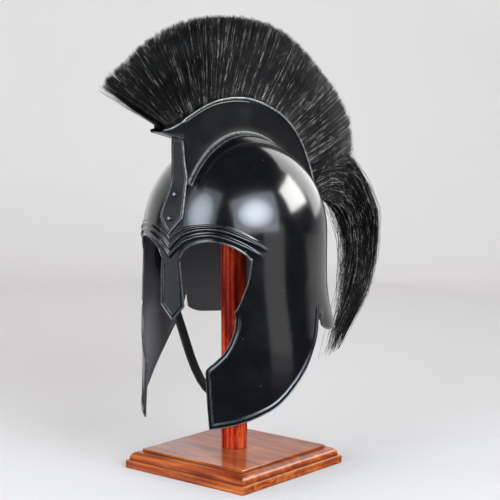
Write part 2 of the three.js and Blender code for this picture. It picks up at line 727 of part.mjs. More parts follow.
// Chin strap: one loop of leather from the left inner wall under the chin to the right one
function chinAnchor() {
  const wall = shellPoint(CHIN_STRAP_AZIMUTH, CHIN_STRAP_LEVEL);
  const ahead = shellPoint(CHIN_STRAP_AZIMUTH - 2, CHIN_STRAP_LEVEL);
  const along = wall.clone().sub(ahead).normalize();
  const inward = new THREE.Vector3(-along.y, along.x, 0);
  const bow = CHIN_STRAP_WIDTH ** 2 / (4 * HELMET_WIDTH);
  return { wall, along, inward, clear: WALL + GAP * 2 + bow };
}

const CHIN_STRAP_STEPS = 28;
const CHIN_HANG = { from: 0.09, to: 0.5 };
const CORNERS = [[-1, -1], [1, -1], [1, 1], [-1, 1]];
function chinStrap() {
  const { wall, along, inward, clear } = chinAnchor();
  const seat = wall.clone().addScaledVector(inward, clear + LEATHER / 2);
  const run = POST_DIAMETER / 2 + CHIN_STRAP_WIDTH / 2 + CHIN_POST_CLEARANCE;
  const side = CHIN_LOOP.map(({ across, down }) => new THREE.Vector3(
    seat.x * across, 0, seat.z - CHIN_STRAP_DROP * down));
  const route = [...side, ...side.slice(0, -1).reverse().map((p) => new THREE.Vector3(-p.x, 0, p.z))];
  const curve = new THREE.CatmullRomCurve3(route, false, 'centripetal');
  const rings = spread(CHIN_STRAP_STEPS, 0, 1).map((share) => {
    const at = curve.getPoint(share);
    const tangent = curve.getTangent(share);
    const fallen = (seat.z - at.z) / CHIN_STRAP_DROP;
    const hang = THREE.MathUtils.smoothstep(fallen, CHIN_HANG.from, CHIN_HANG.to);
    at.y = THREE.MathUtils.lerp(seat.y, -run, hang);
    const turn = new THREE.Vector3(Math.sign(at.x) * along.x, along.y, 0);
    const across = turn.lerp(new THREE.Vector3(0, 1, 0), hang).normalize();
    const thick = new THREE.Vector3().crossVectors(tangent, across).normalize();
    return CORNERS.map(([w, t]) => at.clone()
      .addScaledVector(across, (w * CHIN_STRAP_WIDTH) / 2)
      .addScaledVector(thick, (t * LEATHER) / 2));
  });
  return loft(rings);
}

function chinRivetPlace(side) {
  const { wall, inward, clear } = chinAnchor();
  const at = wall.clone().addScaledVector(inward, clear + LEATHER + GAP);
  at.z -= CHIN_PIN_DROP;
  return {
    at: new THREE.Vector3(at.x * side, at.y, at.z),
    axis: new THREE.Vector3(inward.x * side, inward.y, 0),
  };
}

// Places along the rim for the hair, by share of its length
function rimTrack(stations, prow) {
  const list = [...prow.slice(0, -1), ...stations];
  const lengths = [0];
  list.slice(1).forEach((station, i) => lengths.push(lengths[i] + station.rim.distanceTo(list[i].rim)));
  const total = lengths[lengths.length - 1];
  const mix = (share, read) => {
    const target = THREE.MathUtils.clamp(share, 0, 1) * total;
    const i = lengths.findIndex((length, k) => k > 0 && (length >= target || k === lengths.length - 1)) - 1;
    const t = (target - lengths[i]) / (lengths[i + 1] - lengths[i]);
    return read(list[i]).clone().lerp(read(list[i + 1]), Math.min(1, t));
  };
  const rimAt = (share) => mix(share, (s) => s.rim);
  const riseAt = (share) => mix(share, (s) => s.rise).normalize();
  const floorAt = (share) => mix(share, (s) => new THREE.Vector2(s.floor, 0)).x;
  return { rimAt, riseAt, floorAt, length: total };
}

const HAIR_HALF = RIM_WIDTH / 2 - SHEET - GAP;

const LOCK_SECTION = [[-1, 0], [-0.6, 1], [0.6, 1], [1, 0], [0.6, -1], [-0.6, -1]];
// Ring of one lock: middle, direction across it in the middle plane, half width, half thickness
function lockRing(middle, across, half, thick) {
  return LOCK_SECTION.map(([w, x]) =>
    new THREE.Vector3(x * thick, middle.x + across.x * w * half, middle.y + across.y * w * half));
}

// Strip at the foot of the hair, inside the channel
function hairBacking(track) {
  return loft(spread(BACKING.steps, BACKING.from, BACKING.to).map((share) => {
    const rim = track.rimAt(share);
    const rise = track.riseAt(share);
    const low = track.floorAt(share) * BACKING_DEPTH;
    const high = track.floorAt(share) * BACKING_TOP;
    return [[-HAIR_HALF, low], [HAIR_HALF, low], [HAIR_HALF, high], [-HAIR_HALF, high]]
      .map(([x, drop]) => new THREE.Vector3(x, rim.x - rise.x * drop, rim.y - rise.y * drop));
  }));
}

// A strand's place in the middle plane by its place along the rim and the share of its length
function strandPoint(track, share, reach) {
  const lean = THREE.MathUtils.degToRad(lookUp(HAIR, 'along', share, 'lean'));
  const run = HAIR_LENGTH * lookUp(HAIR, 'along', share, 'length') * reach;
  return track.rimAt(share)
    .addScaledVector(track.riseAt(share), HAIR_LIFT)
    .add(new THREE.Vector2(Math.cos(lean), Math.sin(lean)).multiplyScalar(run));
}

// Lock of the crest: its rings by share of the strand's length and of the plume's thickness there
const LOCK_RINGS = [
  { reach: 0, thick: 0 },
  { reach: 0.5, thick: 0.8 },
  { reach: 0.9, thick: 1 },
  { reach: 1, thick: 0.1 },
];
function crestLock(track, share, step) {
  const rim = track.rimAt(share);
  const rise = track.riseAt(share);
  const tangent = new THREE.Vector2(rise.y, -rise.x);
  const rootHalf = (track.length * step * LOCK_OVERLAP) / 2;
  const root = rim.clone().addScaledVector(rise, -track.floorAt(share) * ROOT_DEPTH);
  const free = LOCK_RINGS.map(({ reach, thick }) => {
    const before = strandPoint(track, share - step / 2, reach);
    const after = strandPoint(track, share + step / 2, reach);
    const across = after.clone().sub(before);
    const half = (across.length() * LOCK_OVERLAP) / 2;
    const middle = strandPoint(track, share, reach);
    return lockRing(middle, across.normalize(), half, HAIR_HALF + PLUME_SWELL * thick);
  });
  return loft([lockRing(root, tangent, rootHalf, HAIR_HALF), ...free]);
}

function tailLock(track, share, half) {
  const root = THREE.MathUtils.lerp(TAIL_ROOT.from, TAIL_ROOT.to, share);
  const rim = track.rimAt(root);
  const rise = track.riseAt(root);
  const tangent = new THREE.Vector2(rise.y, -rise.x);
  const end = track.rimAt(1);
  const depth = track.floorAt(root) * ROOT_DEPTH;
  const free = TAIL.map(({ outBack, outUp, inBack, inUp, thick }) => {
    const outer = new THREE.Vector2(outBack, outUp).multiplyScalar(TAIL_DROP).add(end);
    const inner = new THREE.Vector2(inBack, inUp).multiplyScalar(TAIL_DROP).add(end);
    const across = inner.clone().sub(outer);
    const width = (across.length() / TAIL_LOCKS) * LOCK_OVERLAP / 2;
    return lockRing(outer.lerp(inner, share), across.normalize(), width, thick * HAIR_HALF);
  });
  return loft([
    lockRing(rim.clone().addScaledVector(rise, -depth), tangent, half, HAIR_HALF),
    lockRing(rim.clone().addScaledVector(rise, HAIR_LIFT), tangent, half, HAIR_HALF),
    ...free,
  ]);
}

function plume(stations, prow) {
  const track = rimTrack(stations, prow);
  const step = (CREST_ROOT.to - CREST_ROOT.from) / CREST_LOCKS;
  const tailStep = (TAIL_ROOT.to - TAIL_ROOT.from) / TAIL_LOCKS;
  const tailHalf = (track.length * tailStep * LOCK_OVERLAP) / 2;
  let solid = hairBacking(track);
  for (let k = 0; k < CREST_LOCKS; k++) {
    solid = solid.add(crestLock(track, CREST_ROOT.from + (k + 0.5) * step, step));
  }
  for (let k = 0; k < TAIL_LOCKS; k++) {
    solid = solid.add(tailLock(track, (k + 0.5) / TAIL_LOCKS, tailHalf));
  }
  return toGeometry(solid);
}

// Stand: a square base turned from its moulding's profile, and a round post
function standBase() {
  const half = BASE_WIDTH / 2;
  const upper = BASE_TOP_WIDTH / 2;
  const round = spread(6, 0, 90).map((angle) => {
    const turn = THREE.MathUtils.degToRad(angle);
    const reach = half - MOULDING_STEP * 2 - upper - MOULDING_STEP;
    return [
      upper + MOULDING_STEP + reach * Math.cos(turn),
      PLINTH_HEIGHT + MOULDING_STEP + (MOULDING_HEIGHT - MOULDING_STEP) * Math.sin(turn),
    ];
  });
  const profile = [
    [0, 0],
    [half, 0],
    [half, PLINTH_HEIGHT - MOULDING_STEP],
    [half - MOULDING_STEP, PLINTH_HEIGHT],
    [half - MOULDING_STEP * 2, PLINTH_HEIGHT],
    ...round,
    [upper, PLINTH_HEIGHT + MOULDING_HEIGHT],
    [upper, BASE_HEIGHT],
    [0, BASE_HEIGHT],
  ];
  const corner = Math.SQRT2;
  const points = profile.map(([r, z]) => new THREE.Vector2(r * corner, z));
  return new THREE.LatheGeometry(points, 4).rotateX(Math.PI / 2).rotateZ(Math.PI / 4);
}

const POST_SIDES = 24;
function standPost() {
  const radius = POST_DIAMETER / 2;
  const geometry = new THREE.CylinderGeometry(radius, radius, POST_LENGTH, POST_SIDES);
  return geometry.rotateX(Math.PI / 2).translate(0, 0, BASE_HEIGHT + GAP + POST_LENGTH / 2);
}

// Finishes
const FINISH = {
  lacquer: { color: 0x101114, roughness: 0.2, metalness: 0.6 },
  steel: { color: 0x24252a, roughness: 0.3, metalness: 0.7 },
  hair: { color: 0x17161a, roughness: 0.75, metalness: 0 },
  leather: { color: 0x121212, roughness: 0.6, metalness: 0 },
  wood: { color: 0x7a2c14, roughness: 0.3, metalness: 0 },
};

function piece(name, geometry, finish) {
  const bare = geometry.index ? geometry : mergeVertices(geometry, 1e-3);
  bare.computeVertexNormals();
  const mesh = new THREE.Mesh(bare, new THREE.MeshStandardMaterial(finish));
  mesh.name = name;
  return mesh;
}

function helmet() {
  const stations = crestStations();
  const prow = prowStations(stations[0]);
  const half = [...noseGuard(), ...dome(), ...skirt()];
  const sheet = meshOf([...half, ...mirrored(half)]);
  let shell = toSolid(wallFrom(sheet, -WALL, 0));
  let strap = toSolid(frontStrap(stations));
  const rivets = Object.entries(RIVET_PLACES).map(([place, share]) => {
    const { at, axis } = rivetPlace(stations, share);
    const cut = toSolid(placed(pinCutter(PIN_CUT), at, axis));
    shell = shell.subtract(cut);
    strap = strap.subtract(cut);
    const seat = at.clone().addScaledVector(axis, STRAP_PLATE + GAP);
    return piece(`rivet_${place}`, placed(rivet(STRAP_PLATE + WALL + GAP * 2), seat, axis), FINISH.steel);
  });
  let loop = chinStrap();
  const chinRivets = [['left', 1], ['right', -1]].map(([place, side]) => {
    const { at, axis } = chinRivetPlace(side);
    loop = loop.subtract(toSolid(placed(pinCutter(PIN_CUT), at, axis)));
    return piece(`strap_rivet_${place}`, placed(rivet(LEATHER + GAP), at, axis), FINISH.steel);
  });
  const group = new THREE.Group();
  group.add(
    piece('shell', toGeometry(shell), FINISH.lacquer),
    piece('crest_holder', crestHolder(stations, prow, domeCutter()), FINISH.lacquer),
    piece('front_strap', toGeometry(strap), FINISH.steel),
    ...rivets,
    piece('plume', plume(stations, prow), FINISH.hair),
    piece('chin_strap', toGeometry(loop), FINISH.leather),
    ...chinRivets,
  );
  return group;
}

// The post's rim is what the dome sits on
const seatRadius = POST_DIAMETER / 2 / (SECTIONS[0].side * (HELMET_WIDTH / 2) - WALL);
const seatHeight = (DOME_HEIGHT - WALL) * Math.sqrt(1 - seatRadius ** 2);

const part = new THREE.Group();
const worn = helmet();
worn.position.z = POST_TOP + GAP * 2 - seatHeight;
part.add(worn, piece('stand_base', standBase(), FINISH.wood), piece('stand_post', standPost(), FINISH.wood));

export default part;
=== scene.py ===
"""Greek helmet with a raised hair crest on its wooden stand: fine surfaces, finishes, light, camera."""
import math
import bpy
import bmesh
import numpy as np
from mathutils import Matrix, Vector


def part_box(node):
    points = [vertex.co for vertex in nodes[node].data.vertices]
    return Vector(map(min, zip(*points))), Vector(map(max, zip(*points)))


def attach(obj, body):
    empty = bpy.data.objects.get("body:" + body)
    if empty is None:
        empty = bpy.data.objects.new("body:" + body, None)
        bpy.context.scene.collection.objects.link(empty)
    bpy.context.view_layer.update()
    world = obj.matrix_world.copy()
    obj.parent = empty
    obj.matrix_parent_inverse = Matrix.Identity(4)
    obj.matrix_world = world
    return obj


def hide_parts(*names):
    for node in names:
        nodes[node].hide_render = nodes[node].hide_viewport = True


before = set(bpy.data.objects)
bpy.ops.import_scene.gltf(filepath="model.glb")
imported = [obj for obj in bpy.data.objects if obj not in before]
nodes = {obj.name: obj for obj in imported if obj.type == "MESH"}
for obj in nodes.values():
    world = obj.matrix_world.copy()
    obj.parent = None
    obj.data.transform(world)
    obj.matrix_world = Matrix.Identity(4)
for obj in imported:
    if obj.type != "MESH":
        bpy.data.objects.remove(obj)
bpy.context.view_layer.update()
MM = 0.001


def node_box(name):
    """Lowest and highest corner of a node in millimetres."""
    low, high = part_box(name)
    return np.array(low) / MM, np.array(high) / MM


# Camera at the photograph's angle
CAMERA_PLACE = (1.1093, -1.2894, 0.4692)
CAMERA_AIM = (-0.63882, 0.75888, -0.12651)
CAMERA_LENS = 108
SENSOR = 36

# Sizes in millimetres, as in the part's source
WALL = 1.5
HELMET_WIDTH = 216
HELMET_LENGTH = 226
DOME_HEIGHT = 112
SKIRT_DEPTH = 204.5
NECK_FLARE = 10
NOSE_LENGTH = 69
NOSE_POINT = 17
NOSE_SPREAD = 1.27
NOSE_SLOPE = 0.05
GAP = 0.3
SHEET = 1.2
CREST_RISE = 42
FOOT_WIDTH = 24
RIM_WIDTH = 19
FOOT_FLANGE = 5
FOOT_ROLL = 2
PROW_LENGTH = 33.5
PROW_RISE = 8.5
CHANNEL_SHARE = 0.3
STRAP_PLATE = 1.5
STRAP_TOP_WIDTH = 17
SPADE_POINT = 0.075
HAIR_LENGTH = 92
TAIL_DROP = 150
PLUME_SWELL = 5
HAIR_LIFT = 4

# Level of the temple line, where the dome starts to close
TEMPLE = node_box("shell")[1][2] - DOME_HEIGHT


def table(names, *rows):
    """A table of named columns."""
    return {name: np.array(column, float) for name, column in zip(names, zip(*rows))}


# Plan of the shell by depth under the temple line, as shares of its full size
SECTIONS = table(
    ("depth", "side", "front", "back", "power"),
    (0, 0.935, 0.947, 1.018, 2),
    (0.205, 0.94, 0.947, 1.009, 2),
    (0.4, 0.963, 0.951, 1, 1.95),
    (0.595, 0.995, 0.965, 0.991, 1.88),
    (0.79, 1, 0.991, 0.991, 1.82),
    (1.01, 1, 1.009, 0.991, 1.8),
)
# Eye's edge and the three ridges over the eye corner, in dome heights
BROW = table(
    ("azimuth", "edge", "ridge", "crown", "top"),
    (0, 0, 0.026, 0.102, 0.188),
    (3, 0, 0.082, 0.155, 0.232),
    (7.2, 0, 0.136, 0.217, 0.28),
    (9.3, 0.067, 0.169, 0.242, 0.296),
    (14, 0.13, 0.207, 0.273, 0.32),
    (20, 0.169, 0.235, 0.297, 0.336),
    (26, 0.184, 0.246, 0.305, 0.342),
    (32, 0.174, 0.236, 0.297, 0.334),
    (38, 0.144, 0.204, 0.273, 0.313),
    (43, 0.106, 0.17, 0.24, 0.282),
    (47.7, 0.055, 0.132, 0.208, 0.248),
    (51.3, 0, 0.099, 0.179, 0.217),
    (56.6, 0, 0.053, 0.136, 0.175),
    (62, 0, 0.043, 0.092, 0.14),
    (90, 0, 0.053, 0.111, 0.169),
    (180, 0, 0.053, 0.111, 0.169),
)
FRONT_EDGE = table(
    ("depth", "azimuth"),
    (0.0924, 51.3), (0.11, 50.9), (0.19, 49.5), (0.274, 46.2), (0.355, 42), (0.367, 40.7), (0.386, 41.5),
    (0.443, 41.2), (0.514, 39), (0.585, 34.7), (0.632, 29.6), (0.686, 24), (0.784, 24.5), (0.902, 25.4),
    (1, 26.3),
)
# The cheek guard's rear edge swells up to 5 mm past the source's, as the photograph shows
REAR_EDGE = table(
    ("depth", "azimuth"),
    (0.394, 105.6), (0.426, 104.9), (0.519, 101.7), (0.619, 95), (0.721, 86.8), (0.819, 76.4), (0.87, 69.8),
    (0.9, 64.4), (0.925, 58), (0.953, 49.5), (0.978, 38.5), (1, 26.3),
)
NECK_RIM = table(
    ("azimuth", "depth"),
    (105.6, 0.394), (107, 0.48), (111, 0.506), (118, 0.525), (130, 0.532), (155, 0.543), (180, 0.548),
)
# Crest rim by the angle of its foot: how far back and up it stands, in crest rises
CREST = table(
    ("foot", "back", "up"),
    (33.3, -0.107, 1.69), (43, -0.04, 1.48), (54, -0.026, 1.295), (66, 0, 1.16), (78, 0, 1.057),
    (91, 0, 1.005), (104, -0.01, 0.995), (116, 0, 1.02), (128, 0.05, 1.09), (139, 0.14, 1.12),
    (149, 0.27, 1.055), (158, 0.41, 0.89), (166, 0.58, 0.545), (172, 0.6, 0.295), (176, 0.53, 0.15),
)
SPADE = table(
    ("down", "half"),
    (0, 1), (0.24, 1.16), (0.46, 1.42), (0.48, 1.42), (0.6, 1.6), (0.8, 1.92), (0.83, 1.9),
)
# Hair by share of the rim: its lean in degrees and its length in full lengths
HAIR = table(
    ("along", "lean", "length"),
    (0, 155, 0.97), (0.03, 147, 0.99), (0.07, 137, 0.985), (0.13, 122, 0.985), (0.21, 101, 0.97),
    (0.29, 80, 0.965), (0.39, 67, 0.97), (0.51, 58, 0.945), (0.62, 42, 0.91), (0.73, 29, 0.98),
    (0.79, 25, 1), (0.85, 23, 0.95), (0.92, 20, 0.72),
)
# Outer and inner line of the tail from the rim's end, in tail drops
TAIL = table(
    ("outBack", "outUp", "inBack", "inUp"),
    (0.26, 0.43, 0.19, 0.11), (0.46, 0.43, 0.38, 0.03), (0.68, 0.22, 0.53, -0.13), (0.88, -0.09, 0.61, -0.33),
    (0.88, -0.41, 0.6, -0.53), (0.79, -0.73, 0.53, -0.78), (0.46, -1.1, 0.3, -1.16),
)
NOSE_AZIMUTH = 7.2
EYE_CORNER = -FRONT_EDGE["depth"][0] * SKIRT_DEPTH
EAR_NOTCH = -REAR_EDGE["depth"][0] * SKIRT_DEPTH
EYE_END = FRONT_EDGE["azimuth"][0]
EYE_DEPTH = 0.367
BEAD_DEPTH = 0.42
EAR_AZIMUTH = REAR_EDGE["azimuth"][0]
EAR_DEPTH = REAR_EDGE["depth"][0]
FLARE = {"above": 0.15, "below": 0.6, "from": 98, "to": 135}

# Half widths of the bare dome at the temple line
DOME_SIDE = SECTIONS["side"][0] * HELMET_WIDTH / 2
DOME_FRONT = SECTIONS["front"][0] * HELMET_LENGTH / 2
DOME_BACK = SECTIONS["back"][0] * HELMET_LENGTH / 2


def look_up(rows, key, x):
    """Smooth reading of a column by the table's first one: a cubic that never overshoots its rows."""
    xs, ys = next(iter(rows.values())), rows[key]
    x = np.clip(np.asarray(x, float), xs[0], xs[-1])
    i = np.clip(np.searchsorted(xs, x, side="right") - 1, 0, len(xs) - 2)
    step = np.diff(xs)
    slope = np.diff(ys) / step
    before, after = slope[:-1], slope[1:]
    together = before * after
    total = np.where(before + after == 0, 1, before + after)
    tangent = np.concatenate([slope[:1], np.where(together <= 0, 0, 2 * together / total), slope[-1:]])
    t = (x - xs[i]) / step[i]
    rise = t * t * (3 - 2 * t)
    start = t * (1 - t) ** 2 * step[i] * tangent[i]
    end = t * t * (t - 1) * step[i] * tangent[i + 1]
    return ys[i] * (1 - rise) + ys[i + 1] * rise + start + end


def smoothstep(x, low, high):
    t = np.clip((np.asarray(x, float) - low) / (high - low), 0, 1)
    return t * t * (3 - 2 * t)


def shell_radius(azimuth, height):
    """Radius of the bare shell at an azimuth from the face and a height over the temple line."""
    angle = np.radians(azimuth)
    depth = np.maximum(0, -height) / SKIRT_DEPTH
    closing = np.sqrt(np.maximum(1e-9, 1 - (np.maximum(0, height) / DOME_HEIGHT) ** 2))
    side, front, back, power = (look_up(SECTIONS, key, depth) for key in ("side", "front", "back", "power"))
    side = side * HELMET_WIDTH / 2 * closing
    length = np.where(np.cos(angle) > 0, front, back) * HELMET_LENGTH / 2 * closing
    across = np.abs(np.sin(angle) / side) ** power
    along = np.abs(np.cos(angle) / length) ** power
    return (across + along) ** (-1 / power)


def shell_point(azimuth, height, relief=0):
    """A point of the shell in millimetres; the neck guard turns outward towards its rim."""
    azimuth, height = np.broadcast_arrays(azimuth, height)
    reach = smoothstep(-height / SKIRT_DEPTH, FLARE["above"], FLARE["below"])
    flare = NECK_FLARE * reach ** 2 * smoothstep(azimuth, FLARE["from"], FLARE["to"])
    radius = shell_radius(azimuth, height) + flare + relief
    angle = np.radians(azimuth)
    return np.stack([radius * np.sin(angle), -radius * np.cos(angle), height + TEMPLE], -1)


def edge_azimuth(edge, height):
    return look_up(edge, "azimuth", -np.asarray(height) / SKIRT_DEPTH)


def rim_height(azimuth):
    return -look_up(NECK_RIM, "depth", azimuth) * SKIRT_DEPTH


def brow_height(key, azimuth):
    return EYE_CORNER + look_up(BROW, key, azimuth) * DOME_HEIGHT


def new_object(name, data):
    thing = bpy.data.objects.new(name, data)
    bpy.context.scene.collection.objects.link(thing)
    return thing


def mesh_from(name, points, faces, attributes, material):
    """A mesh object from points in millimetres and lists of faces."""
    mesh = bpy.data.meshes.new(name)
    points = np.asarray(points, float) * MM
    counts = np.array([len(face) for face in faces])
    corners = np.concatenate(list(faces))
    mesh.vertices.add(len(points))
    mesh.vertices.foreach_set("co", points.reshape(-1).astype(np.float32))
    mesh.loops.add(len(corners))
    mesh.loops.foreach_set("vertex_index", corners.astype(np.int32))
    mesh.polygons.add(len(counts))
    mesh.polygons.foreach_set("loop_start", (np.cumsum(counts) - counts).astype(np.int32))
    mesh.polygons.foreach_set("use_smooth", np.full(len(counts), True))
    for key, values in attributes.items():
        layer = mesh.attributes.new(key, "FLOAT", "POINT")
        layer.data.foreach_set("value", np.asarray(values, np.float32))
    mesh.update(calc_edges=True)
    mesh.validate()
    mesh.materials.append(material)
    return new_object(name, mesh)


def grid_faces(rows, columns, closed=False):
    """Quads of a grid of points, row after row; closed joins the last column to the first."""
    r, c = np.meshgrid(np.arange(rows - 1), np.arange(columns if closed else columns - 1), indexing="ij")
    ahead = (c + 1) % columns
    corners = (r * columns + c, r * columns + ahead, (r + 1) * columns + ahead, (r + 1) * columns + c)
    return np.stack(corners, -1).reshape(-1, 4)


def sheet_faces(rows, columns):
    """Quads of a closed sheet: a grid, the same grid behind it and the rim between the two."""
    quads = grid_faces(rows, columns)
    size = rows * columns
    loop = np.concatenate([
        np.arange(columns), np.arange(1, rows) * columns + columns - 1,
        (rows - 1) * columns + np.arange(columns - 2, -1, -1), np.arange(rows - 2, 0, -1) * columns])
    ahead = np.roll(loop, -1)
    rim = np.stack([loop, ahead, ahead + size, loop + size], -1)
    return np.concatenate([quads, quads[:, ::-1] + size, rim])


ROUND_STEPS = 96


def circle(radius, level, steps=ROUND_STEPS):
    """Ring of points round the Z axis."""
    angles = np.arange(steps) * 2 * np.pi / steps
    return np.stack([radius * np.cos(angles), radius * np.sin(angles), np.full(steps, level)], -1)


def weld(obj, distance=0.02):
    body = bmesh.new()
    body.from_mesh(obj.data)
    bmesh.ops.remove_doubles(body, verts=body.verts, dist=distance * MM)
    bmesh.ops.dissolve_degenerate(body, dist=distance * MM / 10, edges=body.edges)
    body.to_mesh(obj.data)
    body.free()
    obj.data.update()


def apply_modifiers(obj):
    """The object's mesh becomes what its modifiers make of it."""
    graph = bpy.context.evaluated_depsgraph_get()
    made = bpy.data.meshes.new_from_object(
        obj.evaluated_get(graph), preserve_all_data_layers=True, depsgraph=graph)
    obj.modifiers.clear()
    old = obj.data
    obj.data = made
    bpy.data.meshes.remove(old)


def sharpen(obj, degrees):
    obj.data.set_sharp_from_angle(angle=math.radians(degrees))


def adopt(obj, *stands_for, slot):
    """The piece rides on the body and stands for its nodes; slot is not used."""
    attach(obj, "root")
    if stands_for:
        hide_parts(*stands_for)
    return obj


# Materials

class Nodes:
    """Short ways to add and join shader nodes."""

    def __init__(self, tree):
        self.tree = tree

    def fill(self, node, inputs):
        """Gives a node its inputs, each a constant or another node's output."""
        for key, value in inputs.items():
            if hasattr(value, "is_linked"):
                self.tree.links.new(value, node.inputs[key])
            else:
                node.inputs[key].default_value = value

    def put(self, kind, inputs, **settings):
        made = self.tree.nodes.new(kind)
        for key, value in settings.items():
            setattr(made, key, value)
        self.fill(made, inputs)
        return made

    def place(self, scale=(1, 1, 1)):
        spot = self.put("ShaderNodeTexCoord", {}).outputs["Object"]
        return self.put("ShaderNodeMapping", {"Vector": spot, "Scale": scale}).outputs["Vector"]

    def noise(self, where, scale, detail=4, roughness=0.55, distortion=0):
        inputs = {"Vector": where, "Scale": scale, "Detail": detail, "Roughness": roughness,
                  "Distortion": distortion}
        return self.put("ShaderNodeTexNoise", inputs).outputs["Fac"]

    def cells(self, where, scale):
        return self.put("ShaderNodeTexVoronoi", {"Vector": where, "Scale": scale}).outputs["Distance"]

    def ramp(self, source, *stops):
        made = self.put("ShaderNodeValToRGB", {"Fac": source})
        while len(made.color_ramp.elements) < len(stops):
            made.color_ramp.elements.new(0.5)
        for element, (at, value) in zip(made.color_ramp.elements, stops):
            element.position = at
            element.color = (*value, 1) if isinstance(value, tuple) else (value, value, value, 1)
        return made.outputs["Color"]

    def mix(self, share, *colours):
        first, second = [(*value, 1) if isinstance(value, tuple) else value for value in colours]
        return self.put("ShaderNodeMix", {0: share, 6: first, 7: second}, data_type="RGBA").outputs[2]

    def sum(self, first, second, operation="ADD"):
        return self.put("ShaderNodeMath", {0: first, 1: second}, operation=operation).outputs[0]

    def times(self, first, second):
        return self.sum(first, second, "MULTIPLY")

    def bump(self, source, strength, distance):
        inputs = {"Height": source, "Strength": strength, "Distance": distance}
        return self.put("ShaderNodeBump", inputs).outputs["Normal"]

    def attribute(self, name):
        return self.put("ShaderNodeAttribute", {}, attribute_name=name).outputs["Fac"]


def new_material(name):
    material = bpy.data.materials.new(name)
    material.use_nodes = True
    return material, Nodes(material.node_tree), material.node_tree.nodes["Principled BSDF"]


def lacquer_material(name, base, worn_and_highlit, gloss, dust, shine):
    """Black lacquer on sheet steel: dust specks, soft stains, and edges lightened to grey by wear and in part
    as painted highlight.
    """
    material, n, shader = new_material(name)
    where = n.place()
    cloud = n.noise(where, 26, 6, 0.6)
    specks = n.ramp(n.cells(where, 95), (0, 1), (0.055, 0.8), (0.075, 0))
    sparse = n.ramp(n.noise(where, 60, 2), (0.56, 0), (0.6, 1))
    film = n.times(n.ramp(cloud, (0.45, 0), (0.75, 1)), 0.03 * dust)
    dirt = n.sum(n.times(n.times(specks, sparse), dust), film)
    broken = n.ramp(n.noise(where, 240, 4, 0.7), (0.35, 0.2), (0.6, 1))
    # The wear attribute lightens edges: real wear, and on rolls, rim edges, strap borders and rivet tops also
    # painted highlight.
    rubbed_and_highlit = n.times(n.attribute("wear"), broken)
    rough = n.sum(n.ramp(cloud, (0.3, gloss), (0.75, gloss + 0.06)), n.times(rubbed_and_highlit, 0.14))
    ripple = n.sum(n.noise(where, 60, 2), n.times(n.noise(where, 900, 3, 0.6), 0.12))
    n.fill(shader, {
        "Base Color": n.mix(rubbed_and_highlit, n.mix(dirt, base, (0.3, 0.3, 0.31)), worn_and_highlit),
        "Roughness": n.sum(rough, n.times(film, 2)),
        "Metallic": n.times(rubbed_and_highlit, 0.6),
        "Normal": n.bump(ripple, 0.16, 0.0004),
        "Specular IOR Level": shine,
    })
    return material


def wood_material(name, grain, stretch, tones):
    """Stained wood under a gloss varnish, with grain along one axis and painted shade where the wear
    attribute is set.
    """
    material, n, shader = new_material(name)
    where = n.place(stretch)
    inputs = {"Vector": where, "Scale": 9, "Distortion": 5, "Detail": 3, "Detail Scale": 1.2}
    rings = n.put("ShaderNodeTexWave", inputs, wave_type="BANDS", bands_direction=grain).outputs["Fac"]
    fibre = n.noise(where, 190, 5, 0.65)
    streak = n.sum(n.times(n.noise(where, 14, 3, 0.5, 0.6), 0.65), n.times(rings, 0.12))
    stained = n.ramp(n.sum(streak, n.times(fibre, 0.25)), *zip((0.3, 0.47, 0.6, 0.8), tones))
    n.fill(shader, {
        # The wear attribute darkens the wood here: painted shade in the base moulding's inner corners.
        "Base Color": n.mix(n.attribute("wear"), stained, (0.03, 0.004, 0.001)),
        "Roughness": n.ramp(fibre, (0.3, 0.34), (0.7, 0.46)),
        "Normal": n.bump(fibre, 0.12, 0.0003),
        "Specular IOR Level": 0.1,
        "Coat Weight": 0.55,
        "Coat Roughness": 0.06,
        "Coat IOR": 1.5,
    })
    return material


def hair_material(name):
    """Black hair with brown and grey strands, told apart by each strand's shade."""
    material, n, shader = new_material(name)
    where = n.place()
    patches = n.sum(n.noise(where, 75, 3, 0.6), n.times(n.noise(where, 330, 2, 0.6), 0.4))
    varied = n.sum(n.sum(n.attribute("shade"), patches), 0.74, "SUBTRACT")
    tones = ((0, (0.001, 0.001, 0.0012)), (0.45, (0.004, 0.0037, 0.004)), (0.7, (0.017, 0.014, 0.012)),
             (0.86, (0.1, 0.084, 0.073)), (1, (0.5, 0.45, 0.4)))
    n.fill(shader, {
        "Base Color": n.ramp(varied, *tones),
        "Roughness": n.ramp(n.noise(where, 700, 2), (0.3, 0.38), (0.7, 0.52)),
        "Specular IOR Level": 0.22,
    })
    return material


def leather_material(name):
    """Matt black strap leather with a fine grain and scuffs."""
    material, n, shader = new_material(name)
    where = n.place()
    scuff = n.noise(where, 55, 6, 0.7)
    tones = ((0.35, (0.006, 0.006, 0.006)), (0.62, (0.012, 0.012, 0.012)), (0.8, (0.05, 0.046, 0.042)))
    n.fill(shader, {
        "Base Color": n.ramp(scuff, *tones),
        "Roughness": n.ramp(scuff, (0.3, 0.42), (0.8, 0.62)),
        "Normal": n.bump(n.sum(n.cells(where, 900), n.noise(where, 300, 4)), 0.35, 0.0003),
    })
    return material


def stage_material(name, colour):
    material, n, shader = new_material(name)
    darker = tuple(value * 0.985 for value in colour)
    n.fill(shader, {
        "Base Color": n.ramp(n.noise(n.place(), 2.5, 2), (0.3, darker), (0.7, colour)),
        "Roughness": 0.9,
        "Specular IOR Level": 0.1,
    })
    return material


